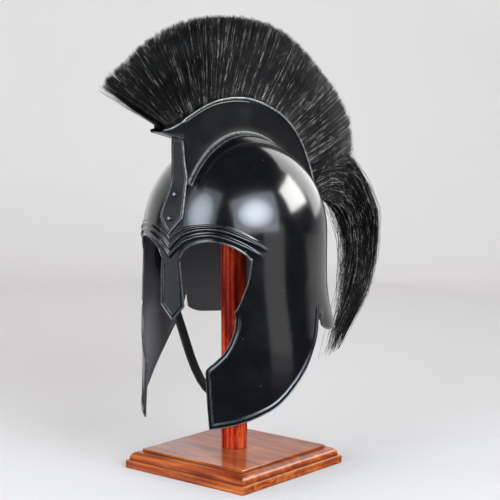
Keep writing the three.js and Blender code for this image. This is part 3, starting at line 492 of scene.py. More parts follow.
LACQUER = lacquer_material("black_lacquer", (0.0022, 0.0022, 0.0028), (0.16, 0.16, 0.165), 0.125, 0.25, 1)
HOLDER = lacquer_material("satin_lacquer", (0.0035, 0.0035, 0.0038), (0.34, 0.34, 0.34), 0.2, 0.25, 0.4)
# Inner side of the shell: the black lacquer lightened to grey, painted light standing in for light reflected
# inside the shell.
LINING_PAINTED_LIGHT = lacquer_material("lining_painted_light", (0.1, 0.103, 0.11), (0.25, 0.25, 0.25), 0.34, 0.6, 1)
STEEL = lacquer_material("dark_steel", (0.009, 0.009, 0.0095), (0.5, 0.5, 0.51), 0.27, 0.3, 0.5)
HAIR_FINISH = hair_material("horsehair")
LEATHER_FINISH = leather_material("black_leather")
BASE_WOOD = wood_material(
    "base_wood", "Z", (1, 6, 6),
    ((0.09, 0.012, 0.0025), (0.25, 0.043, 0.009), (0.4, 0.096, 0.018), (0.58, 0.2, 0.042)))
POST_WOOD = wood_material(
    "post_wood", "X", (6, 6, 1),
    ((0.035, 0.0008, 0.0003), (0.14, 0.003, 0.0008), (0.42, 0.026, 0.004), (0.9, 0.2, 0.03)))


# Shell

def line_distance(u, v, line_u, line_v):
    """Least distance of points to a line given by its points."""
    best = np.full(u.shape, np.inf)
    for k in range(len(line_u) - 1):
        du, dv = line_u[k + 1] - line_u[k], line_v[k + 1] - line_v[k]
        size = du * du + dv * dv
        t = np.clip(((u - line_u[k]) * du + (v - line_v[k]) * dv) / max(size, 1e-9), 0, 1)
        best = np.minimum(best, np.hypot(u - line_u[k] - t * du, v - line_v[k] - t * dv))
    return best


# Millimetres to a degree at the middle radius of the face
UNROLL = math.radians(1) * 105


def brow_line(key, upto):
    """A brow line from the other side of the face to its end, unrolled into millimetres."""
    azimuth = np.linspace(0, upto, 60)
    height = brow_height(key, azimuth)
    return np.concatenate([-azimuth[:0:-1], azimuth]) * UNROLL, np.concatenate([height[:0:-1], height])


RIDGES = (
    {"key": "ridge", "end": 60, "rise": 2.3, "half": 2.6},
    {"key": "crown", "end": 64, "rise": 2.1, "half": 2.5},
    {"key": "top", "end": 60, "rise": 0.9, "half": 1.3},
)
EYE_ROLL = {"rise": 0.9, "half": 1.6}
BEAD = {"rise": 1.1, "half": 1.7, "inset": 4.6}
EDGE_LIP = {"rise": 0.5, "half": 1.1}


def roll(distance, half):
    """Rounded profile of a raised line, 1 on the line and 0 past its half width."""
    t = np.clip(1 - (distance / half) ** 2, 0, 1)
    return t * np.sqrt(t)


def face_relief(u, v):
    """Relief and wear of the brow and the upper sides at unrolled places."""
    relief = np.zeros(u.shape)
    wear = np.zeros(u.shape)
    for ridge in RIDGES:
        line_u, line_v = brow_line(ridge["key"], ridge["end"])
        fade = 1 - smoothstep(np.abs(u) / UNROLL, ridge["end"] - 16, ridge["end"])
        part = roll(line_distance(u, v, line_u, line_v), ridge["half"]) * fade
        relief = np.maximum(relief, part * ridge["rise"])
        wear = np.maximum(wear, smoothstep(part, 0.8, 1) * 0.4)
    return relief, wear


def eye_outline():
    azimuth = np.linspace(NOSE_AZIMUTH, EYE_END, 60)
    height = -np.linspace(FRONT_EDGE["depth"][0], EYE_DEPTH, 24) * SKIRT_DEPTH
    around = np.concatenate([azimuth, edge_azimuth(FRONT_EDGE, height)])
    return around * UNROLL, np.concatenate([brow_height("edge", azimuth), height])


def guard_outline():
    down = -np.linspace(EYE_DEPTH, 1, 70) * SKIRT_DEPTH
    up = -np.linspace(1, EAR_DEPTH, 70) * SKIRT_DEPTH
    azimuth = np.concatenate([edge_azimuth(FRONT_EDGE, down), edge_azimuth(REAR_EDGE, up)])
    return azimuth * UNROLL, np.concatenate([down, up])


def neck_outline():
    azimuth = np.linspace(EAR_AZIMUTH, 180, 60)
    return azimuth * UNROLL, rim_height(azimuth)


def shell_relief(azimuth, height):
    u, v = azimuth * UNROLL, height
    relief, wear = face_relief(u, v)
    eye = roll(line_distance(u, v, *eye_outline()), EYE_ROLL["half"])
    guard = line_distance(u, v, *guard_outline())
    fade = smoothstep(-v / SKIRT_DEPTH, EYE_DEPTH, BEAD_DEPTH)
    bead = roll(guard - BEAD["inset"], BEAD["half"]) * fade
    lip = roll(guard, EDGE_LIP["half"]) * fade
    neck = roll(line_distance(u, v, *neck_outline()), EDGE_LIP["half"])
    relief = np.maximum(relief, eye * EYE_ROLL["rise"] * smoothstep(azimuth, NOSE_AZIMUTH, NOSE_AZIMUTH + 2))
    relief = relief + bead * BEAD["rise"] + np.maximum(lip, neck) * EDGE_LIP["rise"]
    wear = np.maximum(wear, smoothstep(bead, 0.8, 1) * 0.45)
    wear = np.maximum(wear, np.maximum(np.maximum(lip, neck), eye) * 0.6)
    return relief, wear


def shares(count, dense=None):
    """Places from 0 to 1, evenly spread or closer together near both ends or the start."""
    t = np.linspace(0, 1, count)
    if dense == "both":
        return t - np.sin(2 * np.pi * t) / (2 * np.pi) * 0.85
    return t ** 1.6 if dense == "start" else t


NOSE_STEPS = 15
BROW_STEPS = 64
CHEEK_STEPS = 58
NECK_STEPS = 34


def cheek_azimuths(height):
    """Columns of the cheek guard from its front to its rear edge, closer together near the edges."""
    front = edge_azimuth(FRONT_EDGE, height)
    rear = edge_azimuth(REAR_EDGE, height)
    return front + (rear - front) * shares(CHEEK_STEPS, "both")


def shell_patches():
    """Grids of azimuth and height that together cover the left half of the shell."""
    nose = np.linspace(0, NOSE_AZIMUTH, NOSE_STEPS)
    cheek = cheek_azimuths(EYE_CORNER)
    brow = np.linspace(NOSE_AZIMUTH, cheek[0], BROW_STEPS)[1:-1]
    neck = np.linspace(cheek[-1], 180, NECK_STEPS)[1:]
    azimuth = np.concatenate([nose, brow, cheek, neck])
    edge, top = brow_height("edge", azimuth), brow_height("top", azimuth)
    band = edge + (top + 3 - edge) * np.linspace(0, 1, 34)[:, None]
    start = np.arcsin(band[-1] / DOME_HEIGHT)
    slope = start + (np.pi / 2 - 1e-4 - start) * shares(40)[1:, None]
    height = np.concatenate([band, DOME_HEIGHT * np.sin(slope)])
    yield np.broadcast_to(azimuth, height.shape), height
    levels = np.linspace(EAR_NOTCH, EYE_CORNER, 40)
    rows = np.array([np.concatenate([cheek_azimuths(level), neck]) for level in levels])
    yield rows, np.broadcast_to(levels[:, None], rows.shape)
    levels = -SKIRT_DEPTH * (1 - (1 - EAR_DEPTH) * shares(96, "start"))
    rows = np.array([cheek_azimuths(level) for level in levels])
    yield rows, np.broadcast_to(levels[:, None], rows.shape)
    azimuth = np.concatenate([[cheek[-1]], neck])
    level = rim_height(azimuth) + (EAR_NOTCH - rim_height(azimuth)) * shares(18, "start")[:, None]
    yield np.broadcast_to(azimuth, level.shape), level


def nose_patch():
    """Nose guard: its border follows its own outline."""
    share = np.linspace(0, 1, NOSE_STEPS)
    along = np.linspace(1, 0, 66)[:, None]
    tall = NOSE_LENGTH - NOSE_POINT
    top = shell_point(NOSE_AZIMUTH * share, EYE_CORNER)
    drop = (NOSE_LENGTH - NOSE_POINT * share) * along
    x = top[:, 0] * (1 + (NOSE_SPREAD - 1) * np.minimum(1, drop / tall))
    side = np.linspace(0, tall, 12)
    reach = top[-1, 0] * (1 + (NOSE_SPREAD - 1) * side / tall)
    away = line_distance(x, -drop, np.append(reach, 0), -np.append(side, NOSE_LENGTH))
    fade = smoothstep(drop, 0, 9)
    rim = roll(away, 1.3)
    inner = roll(away - 4.2, 1.1)
    brow, wear = face_relief(x, EYE_CORNER - drop)
    relief = np.maximum(brow, (rim * 0.9 + inner * 0.8) * fade)
    wear = np.maximum(wear, np.maximum(rim * 0.65, smoothstep(inner, 0.75, 1) * 0.45) * fade)
    points = np.stack([x, top[:, 1] + drop * NOSE_SLOPE - relief, top[:, 2] - drop], -1)
    return points, wear


def build_shell():
    """Left half from its patches, its mirror image, then the sheet's thickness inward."""
    grids = []
    for azimuth, height in shell_patches():
        relief, wear = shell_relief(azimuth, height)
        grids.append((shell_point(azimuth, height, relief), wear))
    grids.append(nose_patch())
    points, wears, faces, count = [], [], [], 0
    for place, wear in grids:
        quads = grid_faces(*wear.shape)
        for side in (1, -1):
            points.append(place.reshape(-1, 3) * (side, 1, 1))
            wears.append(wear.reshape(-1))
            faces.append((quads if side == 1 else quads[:, ::-1]) + count)
            count += wear.size
    shell = mesh_from("shell_fine", np.concatenate(points), np.concatenate(faces),
                      {"wear": np.concatenate(wears)}, LACQUER)
    # The inner faces take the lightened lining: painted light inside the shell.
    shell.data.materials.append(LINING_PAINTED_LIGHT)
    weld(shell)
    solid = shell.modifiers.new("wall", "SOLIDIFY")
    solid.thickness = WALL * MM
    solid.offset = -1
    solid.use_even_offset = False
    solid.material_offset = 1
    apply_modifiers(shell)
    return adopt(shell, "shell", slot="black_lacquer")


# Crest holder

def crest_stations(foot):
    """Foot and rim places of the crest holder in the middle plane, y and z over the temple line."""
    foot = np.asarray(foot, float)
    half = np.where(foot < 90, DOME_FRONT, DOME_BACK)
    angle = np.radians(foot)
    base = np.stack([-half * np.cos(angle), DOME_HEIGHT * np.sin(angle)], -1)
    lift = np.stack([look_up(CREST, "back", foot), look_up(CREST, "up", foot)], -1)
    rim = base + lift * CREST_RISE
    reach = np.linalg.norm(rim - base, axis=-1)
    return {"base": base, "rim": rim, "rise": (rim - base) / reach[:, None], "floor": reach * CHANNEL_SHARE}


def dome_drop(rim, rise, x):
    """How far below the rim, along the rise, a leg at x meets the dome grown by the gap."""
    side, height = DOME_SIDE + GAP, DOME_HEIGHT + GAP
    best = None
    for half in (DOME_FRONT, DOME_BACK):
        length = half + GAP
        a = (rise[0] / length) ** 2 + (rise[1] / height) ** 2
        b = -2 * (rim[0] * rise[0] / length ** 2 + rim[1] * rise[1] / height ** 2)
        c = (rim[0] / length) ** 2 + (rim[1] / height) ** 2 + (x / side) ** 2 - 1
        drop = (-b - math.sqrt(max(0, b * b - 4 * a * c))) / (2 * a)
        y = rim[0] - rise[0] * drop
        if (y < 0) == (half == DOME_FRONT) or best is None:
            best = drop
    return best


# Rolled rim: how far out, how far down, and 1 on the pressed line
RIM_SECTION = (
    (0, 6.6, 0), (0, 5.6, 0), (0.35, 5, 1), (0, 4.4, 0), (0, 3.2, 0), (0.25, 2.6, 0), (0.8, 2.2, 0),
    (1.15, 1.6, 0), (1.25, 1, 0), (1.1, 0.4, 0), (0.6, 0, 0), (0, -0.1, 0), (-0.7, 0, 0), (-1.2, 0.5, 0),
)


def mirrored_ring(right):
    """The right side of a section, then its mirror image back to the start."""
    return right + [(-x, drop, worn_and_highlit) for x, drop, worn_and_highlit in reversed(right)]


def holder_ring(station, line):
    """Closed cross-section of the holder: feet on the dome, rolled rim and the channel inside."""
    rim, rise, floor = station["rim"], station["rise"], station["floor"]
    foot, edge, half = FOOT_WIDTH / 2, FOOT_WIDTH / 2 + FOOT_FLANGE, RIM_WIDTH / 2
    hem = dome_drop(rim, rise, edge)
    bend = dome_drop(rim, rise, foot) - SHEET
    rolled = bend - FOOT_ROLL
    scale = min(1, floor / 8)
    # The third value lightens a place: wear, and on the foot's roll and flange edge also a painted highlight
    # line.
    right = [
        (edge, hem, 0), (edge + 0.3, hem - SHEET * 0.6, 0.3), (edge - 0.3, hem - SHEET, 0.4),
        (edge - 1.2, hem - SHEET - 0.1, 0.1), (foot + 2.6, bend - 0.2, 0), (foot + 1.4, rolled + 0.5, 0.5),
        (foot + 0.5, rolled, 1), (foot - 0.2, rolled - 0.5, 0.5), (foot - 0.5, rolled - 1.6, 0),
    ]
    for share in (0.25, 0.5, 0.75):
        drop = rolled - 1.6 + (6.6 * scale - (rolled - 1.6)) * share
        right.append((foot - 0.5 + (half - foot + 0.5) * share, drop, 0))
    for out, drop, ridge in RIM_SECTION:
        # The pressed line and the rim's outer edge are lightened by wear and as painted highlight lines.
        worn_and_highlit = 0.12 * line if ridge else float(out > 0.7)
        right.append((half + (out * line if ridge else out), drop * scale, worn_and_highlit))
    right.append((half - SHEET, floor, 0))
    inside = foot - SHEET - 0.5
    under = dome_drop(rim, rise, inside)
    ring = mirrored_ring(right) + [(-inside, under, 0), (-(half - SHEET), floor + SHEET, 0),
                                   (half - SHEET, floor + SHEET, 0), (inside, under, 0)]
    points = [(x, rim[0] - rise[0] * drop, rim[1] - rise[1] * drop + TEMPLE) for x, drop, _ in ring]
    return points, [worn_and_highlit for _, _, worn_and_highlit in ring]


def loft(name, rings, wears, material, angle=38):
    """Solid through closed rings of points with flat ends."""
    rings = np.asarray(rings, float)
    count, size = rings.shape[:2]
    ends = (np.arange(size)[::-1], np.arange(size) + (count - 1) * size)
    faces = [*grid_faces(count, size, closed=True), *ends]
    piece = mesh_from(name, rings.reshape(-1, 3), faces, {"wear": np.asarray(wears).reshape(-1)}, material)
    settle(piece, angle)
    return piece


def settle(obj, degrees):
    """Turns all faces outward and marks the edges that are sharper than an angle."""
    body = bmesh.new()
    body.from_mesh(obj.data)
    bmesh.ops.recalc_face_normals(body, faces=body.faces)
    body.to_mesh(obj.data)
    body.free()
    sharpen(obj, degrees)


HOLDER_STEPS = 110


def station_at(stations, k):
    return {key: value[k] for key, value in stations.items()}


def build_holder():
    feet = np.linspace(CREST["foot"][0], CREST["foot"][-1], HOLDER_STEPS)
    stations = crest_stations(feet)
    rings, wears = [], []
    for k in range(HOLDER_STEPS):
        line = 1 - float(smoothstep(k / HOLDER_STEPS, 0.3, 0.65))
        ring, wear = holder_ring(station_at(stations, k), line)
        rings.append(ring)
        wears.append(wear)
    legs = loft("crest_holder_fine", rings, wears, HOLDER)
    first = station_at(stations, 0)
    join(legs, build_face(first), build_prow(first))
    adopt(legs, "crest_holder", slot="black_lacquer")
    return stations


def join(target, *others):
    all_parts = [target, *others]
    with bpy.context.temp_override(active_object=target, object=target, selected_objects=all_parts,
                                   selected_editable_objects=all_parts):
        bpy.ops.object.join()


def build_face(first):
    """Front plate that closes the holder under the prow."""
    foot, half, rim, rise = FOOT_WIDTH / 2 - 0.7, RIM_WIDTH / 2 - 0.2, first["rim"], first["rise"]
    top, bottom = first["floor"] + 0.4, dome_drop(rim, rise, foot)
    outline = ((foot, bottom), (half, top), (-half, top), (-foot, bottom))
    rings = [[(x, rim[0] - rise[0] * drop + back, rim[1] - rise[1] * drop + TEMPLE) for x, drop in outline]
             for back in (0, SHEET)]
    return loft("holder_face", rings, np.zeros((2, 4)), HOLDER)


PROW_STEPS = 26
PROW_LIP = 2.2


def prow_place(first, share):
    """Place, floor and rim height of the prow at a share of its length."""
    front = first["rim"] - first["rise"] * first["floor"]
    floor = front[1] + PROW_RISE * share
    rim = first["rim"][1] + (floor + PROW_LIP - first["rim"][1]) * share ** 1.15
    return front[0] - PROW_LENGTH * share + SHEET * (1 - share), floor, rim


def build_prow(first):
    """Spout in front of the holder's face: its floor rises and its sides run down to the tip."""
    half = RIM_WIDTH / 2
    rings, wears = [], []
    for share in np.linspace(0, 1, PROW_STEPS):
        y, floor, rim = prow_place(first, share)
        depth = rim - floor
        under = depth + SHEET
        k = min(1, depth / 7)
        right = [(half * 0.4, under, 0), (half - 0.9, under, 0), (half - 0.2, under - 0.3, 0.5),
                 (half, under - 1, 0.1), (half, (under - 1) * 0.6 + 3 * k * 0.4, 0)]
        # The rim's outer edge is lightened by wear and as a painted highlight line.
        right += [(half + out * k, min(drop, 3.2) * k, float(out > 0.7)) for out, drop, _ in RIM_SECTION[4:]]
        ring = mirrored_ring(right + [(half - SHEET, depth, 0)])
        rings.append([(x, y, rim - drop + TEMPLE) for x, drop, _ in ring])
        wears.append([worn_and_highlit for _, _, worn_and_highlit in ring])
    return loft("holder_prow", rings, wears, HOLDER)


# Front strap and rivets

def dome_front(x, height):
    """How far the bare dome reaches forward."""
    left = 1 - (x / DOME_SIDE) ** 2 - (np.maximum(0, height) / DOME_HEIGHT) ** 2
    return DOME_FRONT * np.sqrt(np.maximum(0, left))


def strap_frame(stations):
    first = station_at(stations, 0)
    top = first["rim"][1] - first["floor"] - SHEET * 2
    lean = (first["rim"][0] - first["base"][0]) / (first["rim"][1] - first["base"][1])
    return {"top": top, "length": top - SPADE_POINT * DOME_HEIGHT, "base": first["base"], "lean": lean}


STRAP_BEND = 9


def strap_surface(spine, x, height):
    """Underside of the strap: on the holder's face above, on the dome below, with a soft bend."""
    face = spine["base"][0] + spine["lean"] * (height - spine["base"][1])
    dome = np.where(height < DOME_HEIGHT, dome_front(x, height), 0)
    share = np.clip(0.5 - (face + dome) / (2 * STRAP_BEND), 0, 1)
    return face * share - dome * (1 - share) - STRAP_BEND * share * (1 - share) - GAP * 1.5


STRAP_ROWS = 150
STRAP_COLUMNS = 41


def build_strap(stations):
    """Flat strap with a raised double border that ends in a pointed spade."""
    spine = strap_frame(stations)
    wide = SPADE["down"][-1]
    down = np.linspace(0, 1, STRAP_ROWS)[:, None]
    share = np.linspace(-1, 1, STRAP_COLUMNS)[None, :]
    half = look_up(SPADE, "half", np.minimum(down, wide)) * STRAP_TOP_WIDTH / 2
    x = share * half
    spare = np.maximum(0, down - wide)
    lower = np.minimum(down, wide) + spare * (1 - np.abs(share))
    crown = 2.5 * (1 - share ** 2) * (1 - smoothstep(down, 0, 0.2)) / spine["length"]
    height = spine["top"] - spine["length"] * (lower - crown)
    straight = down[:, 0] <= wide
    outline_z = spine["top"] - spine["length"] * np.append(down[straight, 0], 1)
    away = line_distance(np.abs(x), height, np.append(half[straight, 0], 0), outline_z)
    away = np.minimum(away, spine["top"] + crown * spine["length"] - height)
    border = 1 - smoothstep(away, 2.3, 3.1)
    groove = roll(away - 1.7, 0.7)
    relief = 0.8 * border - 0.35 * groove
    # Border edges lightened by wear and as painted highlight lines.
    worn_and_highlit = np.maximum(roll(away, 0.9) * 0.55, roll(away - 2.6, 0.5) * 0.3)
    y = strap_surface(spine, x, height)
    outer = np.stack([x, y - STRAP_PLATE - relief + 0.5 * roll(away, 0.6), height + TEMPLE], -1)
    inner = np.stack([x, y, height + TEMPLE], -1)
    points = np.concatenate([outer.reshape(-1, 3), inner.reshape(-1, 3)])
    wear = np.concatenate([worn_and_highlit.reshape(-1), np.zeros(worn_and_highlit.size)])
    strap = mesh_from("front_strap_fine", points, sheet_faces(*x.shape), {"wear": wear}, STEEL)
    weld(strap, 0.01)
    settle(strap, 50)
    return adopt(strap, "front_strap", slot="dark_steel")


RIVET_PROFILE = (
    (1.5, -1), (1.5, 0), (3.2, 0), (3.3, 0.35), (3.1, 0.9), (2.7, 1.45), (2.1, 1.95), (1.3, 2.28), (0.5, 2.4),
)
RIVET_TOP = 2.1


def build_rivet(node, at, axis, steps):
    """Domed rivet turned about its axis; its top is lightened by wear and as a painted highlight."""
    turn = np.array(Vector((0, 0, 1)).rotation_difference(Vector(axis)).to_matrix())
    rings = [circle(radius, level, steps) @ turn.T + at for radius, level in RIVET_PROFILE]
    # Painted highlight: the rivet's top takes the lightened finish, which also stands for wear.
    wears = [[0.65 * (level > RIVET_TOP)] * steps for _, level in RIVET_PROFILE]
    adopt(loft(f"{node}_fine", rings, wears, STEEL, 60), node, slot="dark_steel")


RIVET_PLACES = {"rivet_upper": 0.59, "rivet_lower": 0.838}
CHIN_STRAP_AZIMUTH = 75.5
CHIN_STRAP_LEVEL = -22


def build_rivets(stations):
    """Two rivets on the spade, square to it, and one at each end of the chin strap."""
    spine = strap_frame(stations)

    def depth(level):
        return float(strap_surface(spine, 0.0, np.array(level)))

    for node, share in RIVET_PLACES.items():
        height = spine["top"] - spine["length"] * share
        slope = (depth(height + 1) - depth(height - 1)) / 2
        axis = np.array([0, -1, slope]) / math.hypot(1, slope)
        at = np.array([0, depth(height), height + TEMPLE]) + axis * (STRAP_PLATE + GAP)
        build_rivet(node, at, axis, 40)
    wall = shell_point(CHIN_STRAP_AZIMUTH, CHIN_STRAP_LEVEL)
    ahead = shell_point(CHIN_STRAP_AZIMUTH - 2, CHIN_STRAP_LEVEL)
    along = (wall - ahead) / np.linalg.norm(wall - ahead)
    for node, side in (("strap_rivet_left", 1), ("strap_rivet_right", -1)):
        low, high = node_box(node)
        axis = np.array([-along[1] * side, along[0], 0])
        build_rivet(node, (low + high) / 2 - axis * 0.2, axis, 24)


# Hair

def rim_track(stations):
    """Reader of the rim, rise and channel depth at shares of the whole rim's length, prow included."""
    first = station_at(stations, 0)
    prow = []
    for share in np.linspace(1, 0, PROW_STEPS)[:-1]:
        y, floor, rim = prow_place(first, share)
        prow.append((y, rim, 0, 1, rim - floor))
    rows = np.concatenate([prow, np.column_stack([stations[key] for key in ("rim", "rise", "floor")])])
    length = np.cumsum(np.linalg.norm(np.diff(rows[:, :2], axis=0), axis=1))
    places = np.concatenate([[0], length]) / length[-1]

    def read(share):
        made = np.stack([np.interp(share, places, column) for column in rows.T], -1)
        return made[:, :2], made[:, 2:4], made[:, 4]

    return read


HAIR_HALF = RIM_WIDTH / 2 - SHEET - GAP


def crest_path(track, share, steps, reach, swing=0):
    """Middle plane path of crest strands: from the channel's floor up and out along the lean."""
    rim, rise, floor = track(share)
    lean = np.radians(look_up(HAIR, "lean", share) + swing)
    size = HAIR_LENGTH * look_up(HAIR, "length", share) * reach
    run = np.stack([np.cos(lean), np.sin(lean)], -1)
    root = rim - rise * (floor * 0.55)[:, None]
    knee = rim + rise * HAIR_LIFT
    t = np.asarray(steps)[:, None, None]
    before = root + (knee - root) * np.clip(t, 0, 1)
    return np.where(t < 1, before, knee + run * (size[:, None] * (t - 1)))


def tail_path(track, across, reach, steps):
    """Middle plane path of tail strands by their place between the tail's outer and inner line."""
    rim, rise, floor = track(TAIL_ROOTS[0] + TAIL_ROOTS[1] * across)
    end = track([1])[0][0]
    outer = end + np.stack([TAIL["outBack"], TAIL["outUp"]], -1) * TAIL_DROP
    inner = end + np.stack([TAIL["inBack"], TAIL["inUp"]], -1) * TAIL_DROP
    rows = outer[:, None] * (1 - across)[None, :, None] + inner[:, None] * across[None, :, None]
    root = rim - rise * (floor * 0.4)[:, None]
    knots = np.concatenate([root[None], (rim + rise * HAIR_LIFT)[None], rows])
    steps_between = np.linalg.norm(np.diff(knots, axis=0), axis=2)
    length = np.concatenate([np.zeros((1, len(across))), np.cumsum(steps_between, axis=0)])
    where = np.asarray(steps)[:, None] * reach[None, :] * length[-1][None, :]
    return spline(knots, length, where)


def spline(knots, length, where):
    """Smooth curve through knots, one for each strand, read at given lengths."""
    count, strands = length.shape
    index = np.clip((where[:, None, :] >= length[None, :, :]).sum(1) - 1, 0, count - 2)
    pick = np.arange(strands)[None, :]
    step = length[index + 1, pick] - length[index, pick]
    t = ((where - length[index, pick]) / step)[..., None]
    tangents = np.empty_like(knots)
    chords = np.diff(knots, axis=0) / np.diff(length, axis=0)[..., None]
    tangents[1:-1] = (knots[2:] - knots[:-2]) / (length[2:] - length[:-2])[..., None]
    tangents[0], tangents[-1] = chords[0], chords[-1]
    a, b = knots[index, pick], knots[index + 1, pick]
    ta, tb = tangents[index, pick] * step[..., None], tangents[index + 1, pick] * step[..., None]
    return ((2 * t ** 3 - 3 * t ** 2 + 1) * a + (t ** 3 - 2 * t ** 2 + t) * ta
            + (3 * t ** 2 - 2 * t ** 3) * b + (t ** 3 - t ** 2) * tb)


def strands(name, paths, thickness, shade):
    """Three-sided tapered tubes along paths of shape (steps, strands, 3), joined in one mesh."""
    steps, count = paths.shape[:2]
    along = np.gradient(paths, axis=0)
    along /= np.linalg.norm(along, axis=-1, keepdims=True) + 1e-9
    side = np.cross(along, np.array([0.3, 0.1, 0.2]))
    side /= np.linalg.norm(side, axis=-1, keepdims=True) + 1e-9
    up = np.cross(along, side)
    taper = np.linspace(1, 0.35, steps)[:, None, None] * thickness[None, :, None] / 2
    rings = [paths + taper * (math.cos(a) * side + math.sin(a) * up) for a in np.radians([90, 210, 330])]
    points = np.transpose(np.stack(rings, 2), (1, 0, 2, 3)).reshape(-1, 3)
    first = np.arange(count)[:, None] * steps * 3
    tube = grid_faces(steps, 3, closed=True)
    quads = (first[:, :, None] + tube).reshape(-1, 4)
    faces = [*quads, *(first + (2, 1, 0)), *(first + (steps - 1) * 3 + (0, 1, 2))]
    piece = mesh_from(name, points, faces, {"shade": np.repeat(shade, steps * 3)}, HAIR_FINISH)
    adopt(piece, slot="horsehair")


CREST_STRANDS = 9000
CREST_PARTS = 3
TAIL_STRANDS = 4700
CREST_SPAN = (0.012, 0.915)
CORE_SPAN = (0.07, 0.85)
TAIL_ROOTS = (0.84, 0.15)
CREST_STEPS = np.array([0.4, 1, 1.55, 2])
TAIL_LEVELS = (0, 0.3, 0.6, 0.85, 1)


def edge_heavy(rng, count, inner):
    """Places across the plume from -1 to 1, mostly near its two sides, the rest spread evenly."""
    width = 1 - 0.3 * rng.random(count) ** 1.5
    width = np.where(rng.random(count) < inner, rng.random(count), width)
    return width * rng.choice([-1, 1], count)


def blended(x, first, second, mix):
    """Strand paths from their places across and two middle plane paths, the second at the tip."""
    mix = mix[:, None, None]
    paths = np.concatenate([x[..., None], first * (1 - mix) + second * mix], -1)
    paths[..., 2] += TEMPLE
    return paths


TUFTS = 1200
TUFT_PITCH = 0.0045
TUFT_SLANT = 0.35


def build_crest(track, rng):
    """Crest hair in three stretches of nearly straight strands, trimmed to an even brush."""
    count = CREST_STRANDS
    low, high = CREST_SPAN
    tuft_reach = 0.008 * rng.standard_normal(TUFTS)
    tuft_swing = 1.3 * rng.standard_normal(TUFTS)
    tuft_shade = rng.random(TUFTS)
    for part in range(CREST_PARTS):
        share = low + (high - low) / CREST_PARTS * (part + rng.random(count))
        width = edge_heavy(rng, count, 0.35)
        cell = np.floor(share / TUFT_PITCH + TUFT_SLANT * width)
        middle = (cell + 0.5 - TUFT_SLANT * width) * TUFT_PITCH
        pick = cell.astype(int) % TUFTS
        rear = smoothstep(share, 0.74, high)
        front = 1 - 0.35 * (1 - smoothstep(share, 0.05, 0.4))
        reach = 0.975 + 0.022 * rng.standard_normal(count).clip(-2.6, 1.8)
        reach = reach + tuft_reach[pick] * (1 + 3 * smoothstep(share, 0.7, 0.85))
        short = rng.random(count) < 0.14
        reach = np.where(short, reach * rng.uniform(0.78, 0.98, count), reach) - 0.02 * np.abs(width)
        reach = reach - rear * 0.06 * rng.random(count)
        swing = 1.9 * rng.standard_normal(count) + tuft_swing[pick]
        stray = rng.random(count) < 0.03 + 0.1 * rear
        swing = np.where(stray, swing * 2.6, swing) - rear * 5 * rng.random(count)
        own = crest_path(track, share, CREST_STEPS, reach, swing)
        gathered = crest_path(track, share + (middle - share) * 0.3, CREST_STEPS, reach, swing)
        t = np.clip(CREST_STEPS - 1, 0, 1)[:, None]
        swell = HAIR_HALF + (PLUME_SWELL - 1) * smoothstep(t, 0, 0.85) * (1 - 0.2 * smoothstep(t, 0.8, 1))
        x = width[None, :] * swell + 0.6 * rng.standard_normal(count)[None, :] * t
        paths = blended(x, own, gathered, smoothstep(CREST_STEPS, 1, 2))
        shade = (0.62 * rng.random(count) ** 1.3 + 0.38 * tuft_shade[pick]) * front
        light = rng.random(count) < 0.085 + 0.04 * rear
        shade = np.where(light, rng.uniform(0.86, 1, count) * front ** 0.15, shade * 0.8)
        thickness = np.where(light, rng.uniform(0.45, 0.72, count), rng.uniform(0.34, 0.7, count))
        strands(f"hair_crest_{part + 1}", paths, thickness, shade)


TAIL_LOCKS = 26
LOCK_DRAWS = 30
TAIL_STEPS = np.array([0.02, 0.16, 0.32, 0.48, 0.65, 0.83, 1])


def build_tail(track, rng):
    """Tail hair: long strands that fall behind the neck guard and thin out to a wispy end."""
    count = TAIL_STRANDS
    across = rng.random(count) ** 0.9
    lock = np.floor(across * TAIL_LOCKS).astype(int)
    lock_drift = 0.05 * rng.standard_normal(LOCK_DRAWS)
    reach = 0.62 + 0.42 * rng.random(count) ** 2.8 + 0.04 * rng.standard_normal(LOCK_DRAWS)[lock]
    short = rng.random(count) < 0.18
    reach = np.where(short, reach * rng.uniform(0.3, 0.9, count), reach).clip(0.2, 1.04)
    stray = rng.random(count) < 0.2
    wander = np.where(stray, 0.2, 0.05) * rng.standard_normal(count) + lock_drift[lock]
    gather = (lock + 0.5) / TAIL_LOCKS - across
    drifted = np.clip(across + wander + gather * 0.6, -0.2, 1.25)
    wisp = rng.random(count) < 0.025
    drifted = np.where(wisp, rng.uniform(1.1, 1.6, count), drifted)
    own = tail_path(track, across, reach, TAIL_STEPS)
    other = tail_path(track, drifted, reach, TAIL_STEPS)
    thick = HAIR_HALF * np.interp(TAIL_STEPS, TAIL_LEVELS, (1, 1.5, 1.4, 0.95, 0.6))
    x = edge_heavy(rng, count, 0.5)[None, :] * thick[:, None]
    turn = rng.random(count)[None, :] * 0.9 + (rng.random(LOCK_DRAWS)[lock] * 6.3)[None, :]
    wave = np.sin(TAIL_STEPS[:, None] * 6.5 + turn) * TAIL_STEPS[:, None]
    wave = wave * (1 + 1.2 * rng.random(count) ** 3)[None, :]
    paths = blended(x + wave * 1.5, own, other, smoothstep(TAIL_STEPS, 0.05, 0.9))
    paths[..., 1:] += (wave * 2.4)[..., None] * np.array([0.8, 0.5])
    shade = 0.6 * rng.random(count) ** 1.3 + 0.35 * rng.random(LOCK_DRAWS)[lock] * (0.4 + 0.6 * across)
    light = rng.random(count) < 0.1
    shade = np.where(light, rng.uniform(0.84, 0.98, count), shade * 0.8)
    thickness = np.where(light, rng.uniform(0.5, 0.75, count), rng.uniform(0.36, 0.7, count))
    strands("hair_tail", paths, thickness, shade)


